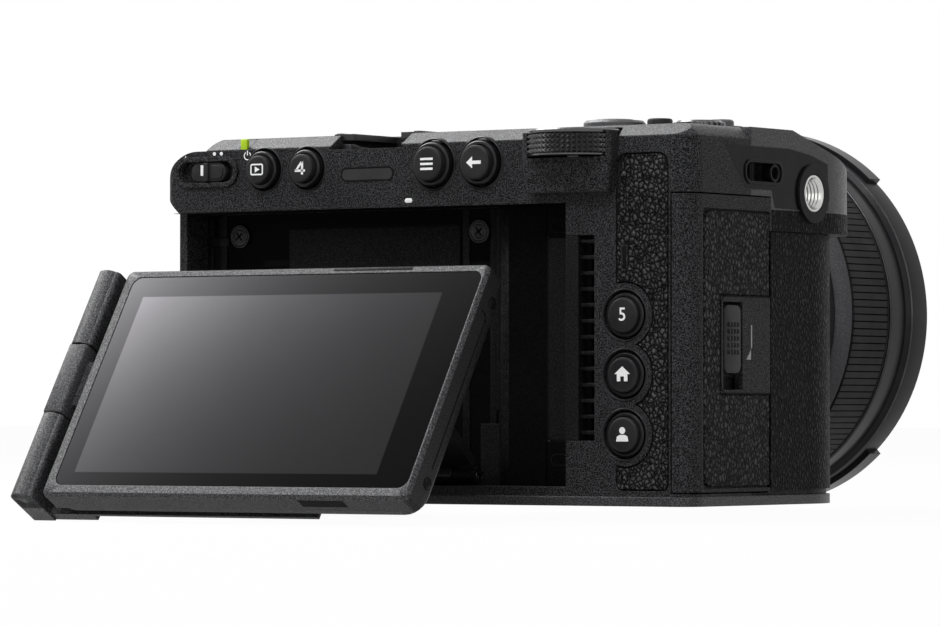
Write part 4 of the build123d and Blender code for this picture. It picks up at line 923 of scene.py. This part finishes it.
# ---- Rear dial: rows of pyramids between two plain rims
dial = top_face(51.1, -33.1, 0)
piece("dial_wheel", "rear_dial", "dial", dial_black,
      turned([(0, 66.9), (2.0, 66.9), (2.0, 72.6), (9.7, 72.6), (9.75, 72.9), (9.3, 73.05), (9.3, 77.15),
              (9.8, 77.3), (9.85, 77.8), (9.55, 78.1), (8.4, 78.1), (8.2, 77.95), (0, 77.95)], dial, 120),
      knurled(9.3, 73.05, 77.15, 4, 52, 0.85, dial), replaces=["rear_dial"], crease=20)

# ---- Screen recess: a near-black lining of painted shade, raised bare panel, ribs, screws and the hinge slot at its left
wall_rear, wall_front = rear_y + 0.6, rear_y + shelf
fixed("recess_shade_lining", "casing", recess_shade_black,
      *[recess_slab(x0, x1, z0, z1, depth, 0.06) for x0, x1, z0, z1, depth in (
          (recess_left, 26.0, recess_foot, recess_top, pocket), (26.1, 38.2, recess_foot, recess_top, shelf),
          (38.0, recess_right, 56.4, recess_top, shelf), (38.0, recess_right, recess_foot, 13.3, shelf))],
      brick((recess_left, wall_rear, 62.94), (recess_right, wall_front, 63.02)),
      brick((recess_right, wall_rear, recess_foot), (48.62, wall_front, 13.4)),
      brick((recess_right, wall_rear, 56.3), (48.62, wall_front, recess_top)))
fixed("recess_panel", "casing", vent_black,
      recess_slab(-32.7, 12.6, 20.0, 59.5, pocket, 0.2, 0.08),
      *[recess_slab(x0, x1, z0, rib_top, depth, stand, edge) for x0, x1, z0, depth, stand, edge in (
          (13.5, 15.2, rib_foot, pocket, 0.3, 0.1), (20.6, 22.2, rib_foot, pocket, 0.3, 0.1),
          (23.4, 25.9, 20.0, pocket, 2.2, 0.2), (-51.8, -49.6, rib_foot, pocket, 0.6, 0.2),
          (recess_left, -53.4, rib_foot, pocket, 0.5, 0.2))],
      recess_slab(recess_left, -49.0, 56.0, 58.0, pocket, 0.75, 0.2),
      recess_slab(26.4, 28.6, rib_foot, rib_top, shelf, 0.1, 0.03))
fixed("recess_dark", "casing", seam_and_hole_shade,
      recess_slab(-39.5, -32.9, 51.4, 52.8, pocket, 0.1), recess_slab(15.3, 20.5, 49.8, 51.6, pocket, 0.1),
      recess_slab(-53.3, -51.9, rib_foot, 55.9, pocket, 0.08),
      frame_line(45.7, 39.9, 1.0, 0.2, 0.03, rear_face(-10.05, 39.75, rear_y + pocket - 0.1)))
for i, (x, z) in enumerate([(-45.9, 58.1), (18.0, 58.0)]):
    spot = rear_face(x, z, rear_y + pocket - 0.8)
    fixed(f"recess_screw_{i}", "casing", collar_black, pan_head(spot, 1.75, 0.2),
          ring(2.0, 2.6, -0.8, 0.0, spot, 0.15, 48))
    fixed(f"recess_cross_{i}", "casing", seam_and_hole_shade, *cross_arms(spot, 1.75, 0.2))

# ---- Vent channel: fins across it, the cover's seam and the tab slots above and below
fixed("vent_fins", "casing", vent_black,
      *[brick((51.75, rear_y + 0.7, z - 0.4), (55.65, rear_y + 3.4, z + 0.4), 0.12)
        for z in (15.2 + 3.31 * i for i in range(13))])
fixed("vent_seams", "casing", seam_and_hole_shade,
      frame_line(12.0, 43.0, 1.2, 0.2, 0.03, rear_face(44.2, 34.9, rear_y + shelf - 0.05)),
      frame_line(11.0, 2.9, 1.4, 0.28, 0.03, rear_face(44.6, 58.5, rear_y + shelf - 0.07)),
      frame_line(11.0, 2.6, 1.25, 0.28, 0.03, rear_face(44.6, 9.4, rear_y + shelf - 0.07)),
      brick((55.6, rear_y + 3.3, 13.6), (55.72, rear_y + 0.3, 56.1)))

# ---- Rear leather, drawn in from its pocket so that the seam shows, with its slot and box
# A near-black sheet closes the gap round the panel from below: painted shade in the groove.
groove = rear_leather_copy(0.03, 0.3, 0)
groove.transform(Matrix.Translation((0, 0.4 * MM, 0)))
fixed("leather_groove", "leather", seam_and_hole_shade, groove)
fixed("rear_leather_panel", "leather", rear_hide, rear_leather_copy(0.38, 0.72, 0.2),
      replaces=["rear_leather"], crease=60)
leather_slot = rear_face(63.1, 51.3)
fixed("leather_slot", "casing", seam_and_hole_shade, brick((-0.42, -2.3, -0.2), (0.42, 2.3, 0.04), 0.02, leather_slot),
      frame_line(1.6, 2.9, 0.3, 0.22, 0.05, rear_face(63.0, 6.1)))
fixed("leather_slot_rim", "casing", body_black, frame_line(1.7, 5.4, 0.4, 0.35, 0.1, leather_slot, 0.08))

# ---- Rear screen: shell in two halves with a chamfered bezel, side screws and seam
face_centre = screen_face(screen_centre_x, screen_height / 2)
rim_outline = (screen_width, screen_height, 1.5)
opening = (glass_size[0] + 0.3, glass_size[1] + 0.3, glass_r + 0.1)
opening_centre = (glass_centre[0] - screen_centre_x, glass_centre[1] - screen_height / 2)
# The back half wears the painted-shade copy of the grain and the bezel the painted-light copy.
piece("screen_back", "screen", "screen_shell", shaded_shell_black,
      lofted([(91.0, 53.4, 3.4, -8.0), (92.4, 54.8, 4.2, -7.5), (93.0, 55.4, 4.4, -6.8),
              (93.0, 55.4, 4.4, -5.75), (92.4, 54.8, 3.6, -5.7), (92.4, 54.8, 3.6, -5.4),
              (*rim_outline, -5.3), (*rim_outline, -1.0)], face_centre, close_top=False),
      replaces=["screen_shell"], crease=30)
piece("screen_bezel", "screen", "screen_shell", lit_bezel_black,
      lofted([(*rim_outline, -1.0), (93.5, 55.9, 1.4, -0.45), (92.5, 54.9, 1.2, 0),
              (*opening, 0, *opening_centre), (*opening, -1.15, *opening_centre)], face_centre,
             close_top=True), crease=40)
for i, (up, depth) in enumerate([(49.6, 4.9), (6.4, 4.7)]):
    spot = screen_side(up, depth)
    piece(f"screen_screw_{i}", "screen", "screen_shell", shoulder_black, pan_head(spot, 1.15, 0.16))
    piece(f"screen_cross_{i}", "screen", "screen_shell", seam_and_hole_shade, *cross_arms(spot, 1.15, 0.16),
          ring(1.15, 1.4, -0.3, 0.03, spot, 0.02, 40))
screen_foot = facing(screen_point(0, 0, 0), (1, 0, 0), (0, -tilt_sin, -tilt_cos))
piece("screen_seam", "screen", "screen_shell", seam_and_hole_shade,
      *hole_line([(2.7, 46.4), (3.9, 46.2), (4.6, 45.2), (4.6, 10.0)], 0.42, screen_side(0, 0), 0.04),
      brick((20.4, -3.6, -0.1), (31.6, -1.2, 0.03), 0, screen_foot))
piece("bezel_catch", "screen", "screen_shell", vent_black,
      brick((9.0, -0.35, -0.3), (29.0, 0.35, 0.05), 0.04, screen_face(0, 55.3)))

# ---- Hinge barrel: two fixed lengths of two lobes each and the block between them
barrel_left, barrel_right, barrel_back = barrel_x - barrel_r, barrel_x + barrel_r, 5.6
lobes = [(barrel_left, barrel_back)]
for x, y, radius, turns in ((-52.3, 2.0, 2.2, range(180, 35, -12)), (-49.75, 1.55, 1.1, range(140, -1, -14))):
    lobes += [(x + radius * cos(radians(a)), y - radius * sin(radians(a))) for a in turns]
lobes += [(barrel_right, barrel_back)]
block = [(barrel_left, barrel_back), (barrel_left, 1.2), (barrel_left + 0.9, -0.1), (barrel_x + 2.2, -0.1),
         (barrel_x + 2.7, 0.4), (barrel_x + 2.7, barrel_back)]
piece("hinge_sleeves", "screen_cradle", "hinge", lit_bezel_black, bar(lobes, 20.2, up_screen(0), 0.45),
      bar(lobes, 18.4, up_screen(37.8), 0.45), crease=45)
piece("hinge_middle", "screen", "hinge", lit_bezel_black, bar(block, 17.0, up_screen(20.5), 0.3),
      brick((barrel_x + 2, 2.4, 23.5), (-45.7, 4.2, 34.5), 0.1, up_screen(0)),
      round_plate(0.8, 15.5, 42.5, shifted(up_screen(0), barrel_x, barrel_in), 24),
      replaces=["hinge_block"], crease=45)

# ---- Bright screws on the bracket, seen past the screen's lower right corner
bracket = side_face(rear_y, 0, 26.0)
fixed("bracket_screws", "hinge", steel,
      *[turned([(0, -0.4), (1.1, -0.4), (1.1, 0.25), (0.8, 0.5), (0, 0.55)], shifted(bracket, 12.0, z, -0.25),
               32) for z in (14.6, 9.0)])

# ---- Side door: leather with its rounded corners, latch panel, latch and arrow
latch = side_face(rear_y, 0)
piece("door_leather_panel", "side_door", "leather", door_hide,
      plate([(5.6, 4.1), (31.5, 4.1), (31.5, 23.0), (11.9, 23.0), (11.9, 43.8), (31.5, 43.8), (31.5, 61.1),
             (5.6, 61.1)], 0.78, shifted(latch, z=-0.8), 3.0, 0.3, 6, (0, 7)),
      replaces=["door_leather"], crease=60)
piece("door_seams", "side_door", "casing", seam_and_hole_shade,
      *hole_line([(31.6, 23.3), (13.8, 23.3), (12.6, 23.9), (12.2, 25.0), (12.2, 41.8), (12.6, 42.9),
                  (13.8, 43.5), (31.6, 43.5)], 0.3, latch, 0.03))
piece("latch_slider", "door_latch", "trim", button_black,
      brick((12.6, 26.6, -2.85), (21.1, 42.7, -2.35), 0.1, latch),
      plate(rectangle(13.6, 27.5, 20.1, 41.7), 2.9, shifted(latch, z=-2.9), 1.5, 0.3),
      *[brick((14.9 + 1.15 * i, 31.4 + 1.45 * j, -0.1), (15.6 + 1.15 * i, 32.3 + 1.45 * j, 0.42), 0.18, latch)
        for i in range(4) for j in range(5)], replaces=["door_latch"])
piece("latch_arrow", "side_door", "casing", grey_print,
      plate([(22.2, 30.4), (24.4, 30.4), (24.4, 33.0)], print_thick, latch),
      brick((24.0, 30.4, -0.03), (24.4, 37.6, print_thick), 0, latch))

# ---- Shoulder trim: threaded socket in its oval boss, strap slot with its lip, leather below
socket = side_face(16.0, 65.9)
thread = [(3.3 - 0.35 * (i % 2), 0.2 - 0.42 * i) for i in range(15)]
fixed("socket_thread", "trim", steel,
      turned([(0, -6.4), (4.05, -6.4), (4.05, 0.38), (3.85, 0.57), (3.5, 0.54), *thread, (0, -5.7)], socket,
             72), replaces=["side_socket"], crease=25)
fixed("socket_boss", "trim", shoulder_black,
      turned([(4.1, -0.3), (6.3, -0.3), (6.3, 0.35), (6.0, 0.52), (4.35, 0.6), (4.1, 0.5)], socket, 96,
             closed=True))
fixed("strap_lip", "trim", shoulder_black,
      frame_line(15.2, 5.2, 2.3, 0.65, 0.3, side_face(rear_y + 29.05, 69.65), 0.12),
      ring(1.3, 1.95, -2.0, 0.2, side_face(rear_y + 33.6, 69.65), 0.15, 48))
fixed("head_leather", "leather", shaded_grip_hide, head_leather(), crease=60)

# ---- Lens: zoom ring with block ribs, printed band, front rings with lugs and the filter thread
ahead_of_mount = facing((0, mount_y, lens_z), (1, 0, 0), (0, 1, 0))


def lens_ring(profile, steps=128):
    """Ring round the lens axis from (radius, distance ahead of the mount) points."""
    return turned(profile, ahead_of_mount, steps, closed=True)


piece("zoom_band", "zoom_ring", "zoom_ring", barrel_black,
      lens_ring([(35.3, 52.5), (38.3, 52.5), (38.5, 52.7), (38.5, 64.2), (38.2, 64.3), (35.3, 64.3)]),
      replaces=["zoom_ring"])
piece("zoom_shoulder", "zoom_ring", "zoom_ring", ring_grey,
      lens_ring([(38.2, 64.3), (38.8, 64.45), (41.15, 66.9), (41.3, 67.3), (41.0, 67.5), (35.3, 67.5)]))
piece("zoom_grip", "zoom_ring", "zoom_ring", zoom_rubber,
      lens_ring([(35.3, 67.5), (40.9, 67.5), (40.9, 83.2), (41.6, 83.25), (41.7, 83.6), (35.3, 83.7)]),
      block_ribs(40.9, 67.6, 83.1, 156, 0.2, 0.75, ahead_of_mount), crease=25)
piece("zoom_numbers", "zoom_ring", "zoom_ring", white_print,
      *[written(word, 3.4, on_ring(38.5, 60.6, turn), thick=0.12)
        for word, turn in (("2", 2), ("3", 38), ("4", 70), ("6", 104))])
fixed("lens_index", "lens_metal", white_print,
      brick((-0.25, -1.8, -0.05), (0.25, 1.8, 0.08), 0, on_ring(37.0, 48.9, 90)),
      round_plate(1.3, -0.05, 0.12, on_ring(36.0, 5.0, 118)))
filter_thread = [(39.1 + 0.3 * (i % 2), 99.2 - 0.35 * i) for i in range(12)]
fixed("front_rings", "lens_metal", ring_black,
      lens_ring([(35.05, 84.0), (41.8, 84.0), (42.05, 84.2), (42.05, 88.0), (41.7, 88.3), (41.7, 91.3),
                 (42.5, 91.9), (42.95, 92.2), (43.1, 92.7), (43.1, 98.9), (42.4, 99.8), (39.5, 99.8),
                 (39.1, 99.4), *filter_thread, (38.9, 95.0), (35.05, 94.0)], 160),
      replaces=["front_ring"], crease=25)
fixed("bayonet_lugs", "lens_metal", ring_black,
      *[arc_band(43.4, 1.5, 5.0, start, 86, shifted(ahead_of_mount, z=94.6), 40) for start in (47, 227)])
fixed("ring_lines", "lens_metal", shoe_metal,
      lens_ring([(42.75, 91.9), (43.05, 92.15), (43.02, 92.35), (42.7, 92.2)], 160),
      lens_ring([(41.7, 83.9), (42.0, 84.1), (42.0, 84.3), (41.7, 84.3)], 160))
fixed("glass_retainer", "lens_metal", ring_black,
      lens_ring([(33.2, 86.0), (37.5, 93.6), (38.4, 93.9), (38.4, 94.2), (35.0, 94.2), (33.0, 90.4),
                 (32.7, 89.4)]))
piece("focus_edges", "focus_ring", "focus_ring", barrel_black,
      *[lens_ring([(37.9, h), (38.25, h + 0.3), (38.25, h + 1.6), (37.9, h + 1.9)]) for h in (22.0, 43.1)])
fixed("release_rim", "lens_metal", collar_black, ring(4.3, 5.1, -0.3, 0.5, front_face(-38.0, 21.0), 0.2, 64))

# ---- Accessory shoe: leaf springs, end stop and screws; the status lamp
shoe_floor_z = 75.8
shoe = top_face(-2.6, rear_y, shoe_floor_z)
spring = [(3.8, 0.1), (21.6, 0.1), (21.6, 0.45), (7.4, 0.85), (5.0, 1.35), (3.8, 1.2)]
fixed("shoe_springs", "trim", shoe_metal,
      *[plate(spring, 2.2, side_face(rear_y, shoe_floor_z, x), 0, 0.08) for x in (-11.4, 4.0)],
      brick((-11.0, 22.2, 3.35), (11.0, 22.9, 3.75), 0.15, shoe),
      *[brick((x - 0.7, 4.3, 3.4), (x + 0.7, 22.6, 3.7), 0.12, shoe) for x in (-10.2, 10.2)])
fixed("shoe_screws", "trim", dark_steel,
      *[turned([(0, -0.3), (1.3, -0.3), (1.3, 0.1), (0.9, 0.2), (0, 0.2)], shifted(shoe, x, y), 32)
        for x in (-4.5, 4.5) for y in (8.5, 18.0)])
fixed("lamp_bed", "casing", lit_copy_black,
      plate([(0, 0), (4.0, 0), (4.0, 2.58)], 2.66, side_face(rear_y, 76.4, -36.73)))
fixed("lamp_face", "casing", lime_print, brick((-36.1, -32.95, 76.45), (-34.4, -32.0, 78.75), 0.1),
      replaces=["status_lamp"])

# ---- Controls on the deck, each a knob on its stem
disc = top_face(46.5, -11.0)
piece("control_disc_top", "control_disc", "dial", knob_grey,
      turned([(0, -2.1), (1.45, -2.1), (1.45, 0.3), (6.3, 0.3), (6.6, 0.6), (6.6, 1.6), (6.1, 2.1),
              (5.4, 2.15), (5.0, 1.85), (4.6, 1.85), (4.3, 2.3), (3.9, 2.4), (0, 2.4)], disc, 96),
      replaces=["control_disc"])
fixed("control_disc_seat", "casing", collar_black, ring(6.9, 7.6, -0.2, 0.35, disc, 0.15))
piece("small_button_top", "small_button", "button", button_black,
      turned([(0, -1.5), (1.5, -1.5), (1.5, -0.35), (2.7, -0.35), (2.7, 1.9), (2.55, 2.25), (2.2, 2.4),
              (1.0, 2.3), (0, 2.25)], top_face(56.6, -9.0), 64), replaces=["small_button"])
knob = top_face(59.5, 2.0)
piece("top_dial_knob", "top_dial", "dial", dial_black,
      turned([(0, -2.1), (1.45, -2.1), (1.45, 0.3), (5.0, 0.3), (5.0, 1.95), (4.6, 2.35), (4.0, 2.4),
              (3.7, 2.25), (0, 2.25)], knob, 80),
      *[brick((4.85, -0.3, 0.45), (5.6, 0.3, 1.95), 0.15, rolled(knob, 2 * pi * i / 24)) for i in range(24)],
      replaces=["top_dial"])
tower = top_face(57.5, 14.0, 78.4)
piece("record_cap", "record_button", "record", knob_grey,
      turned([(0, -1.5), (1.5, -1.5), (1.5, 0.9), (2.8, 0.9), (2.8, 3.3), (2.5, 3.7), (2.2, 3.8), (0.9, 3.55),
              (0, 3.5)], tower, 64), replaces=["record_button"])
piece("lever_ring", "zoom_lever", "dial", knob_grey,
      turned([(3.15, 0.3), (4.8, 0.3), (5.0, 0.5), (5.0, 1.9), (4.7, 2.3), (3.4, 2.3), (3.15, 2.1)],
             tower, 80, closed=True),
      brick((-1.5, 4.3, 0.6), (1.5, 7.9, 2.3), 0.35, tower),
      *[brick((x - 0.12, 5.0, 2.1), (x + 0.12, 7.6, 2.45), 0.05, tower) for x in (-0.9, -0.3, 0.3, 0.9)],
      replaces=["zoom_lever"])
piece("record_mark", "record_button", "record", grey_print,
      turned([(0, 3.4), (0.7, 3.4), (0.7, 3.56), (0, 3.58)], tower, 32))
fixed("deck_marks", "casing", white_print, round_plate(0.45, -0.05, print_thick, top_face(46.5, -2.6), 24),
      *[brick((x - 0.1, -0.6, -0.05), (x + 0.1, 0.6, print_thick), 0, top_face(59.5, -5.6))
        for x in (-0.5, 0, 0.5)])

# ---- Front, left side and base
fixed("front_holes", "casing", seam_and_hole_shade,
      *[round_plate(0.45, -0.1, 0.03, front_face(x, 70.0), 24) for x in (-49.5, -47.9, -46.3, -44.7)])
for i, (x, z) in enumerate([(-51.5, 8.0), (-51.5, 64.0), (38.0, 68.5)]):
    spot = front_face(x, z)
    fixed(f"front_screw_{i}", "casing", dark_steel, pan_head(spot, 1.5, 0.15))
    fixed(f"front_cross_{i}", "casing", seam_and_hole_shade, *cross_arms(spot, 1.5, 0.15),
          ring(1.5, 1.8, -0.3, 0.02, spot, 0.02, 40))
left = facing((left_x, rear_y, 0), (0, -1, 0), (-1, 0, 0))
piece("port_cover_skin", "port_cover", "casing", collar_black,
      plate(rectangle(-51.0, 18.9, -31.0, 61.1), 0.06, left, 1.2, 0.03),
      brick((-43.5, 20.5, 0), (-38.5, 21.6, 0.09), 0.03, left))
piece("port_marks", "port_cover", "casing", grey_print,
      *[frame_line(3.2, h, 0.4, 0.25, 0.03, shifted(left, -41.0, z, 0.06))
        for z, h in ((24.0, 1.8), (38.0, 2.6), (53.0, 1.8))])
fixed("left_seam", "casing", seam_and_hole_shade, *hole_line([(-24.0, 2.2), (-24.0, 68.0)], 0.25, left, 0.02))
below = facing((0, 0, 0), (1, 0, 0), (0, 0, -1))
piece("battery_door_skin", "battery_door", "casing", body_black,
      layered(24.2, 40.1, 1.2, [(-0.1, 0), (0.0, 0), (0.06, 0.2)], shifted(below, 58.4, -12.4)))
piece("battery_door_catch", "battery_door", "casing", button_black,
      brick((50.0, -30.5, -0.05), (56.0, -27.5, 0.3), 0.12, below),
      *[brick((50.6 + 1.1 * i, -30.1, 0.2), (51.1 + 1.1 * i, -27.9, 0.5), 0.1, below) for i in range(5)])
fixed("base_pads", "casing", vent_black,
      *[layered(width, 9.0, 3.0, [(-0.1, 0), (0.02, 0), (0.1, 0.3)], shifted(below, x, y))
        for x, width in ((-30.0, 26.0), (20.0, 22.0)) for y in (22.0, -15.0)])
fixed("tripod_ring", "trim", steel, ring(3.25, 4.9, -0.2, 0.1, below, 0.08, 64))
for i, (x, y) in enumerate([(-50.0, -26.0), (-50.0, 18.0), (30.0, -26.0), (30.0, 18.0), (70.0, -26.0),
                            (-12.0, -26.0)]):
    fixed(f"base_cross_{i}", "casing", seam_and_hole_shade, *cross_arms(shifted(below, x, -y), 1.7, 0.05))

add_studio()

bpy.context.scene.view_settings.view_transform = "Standard"
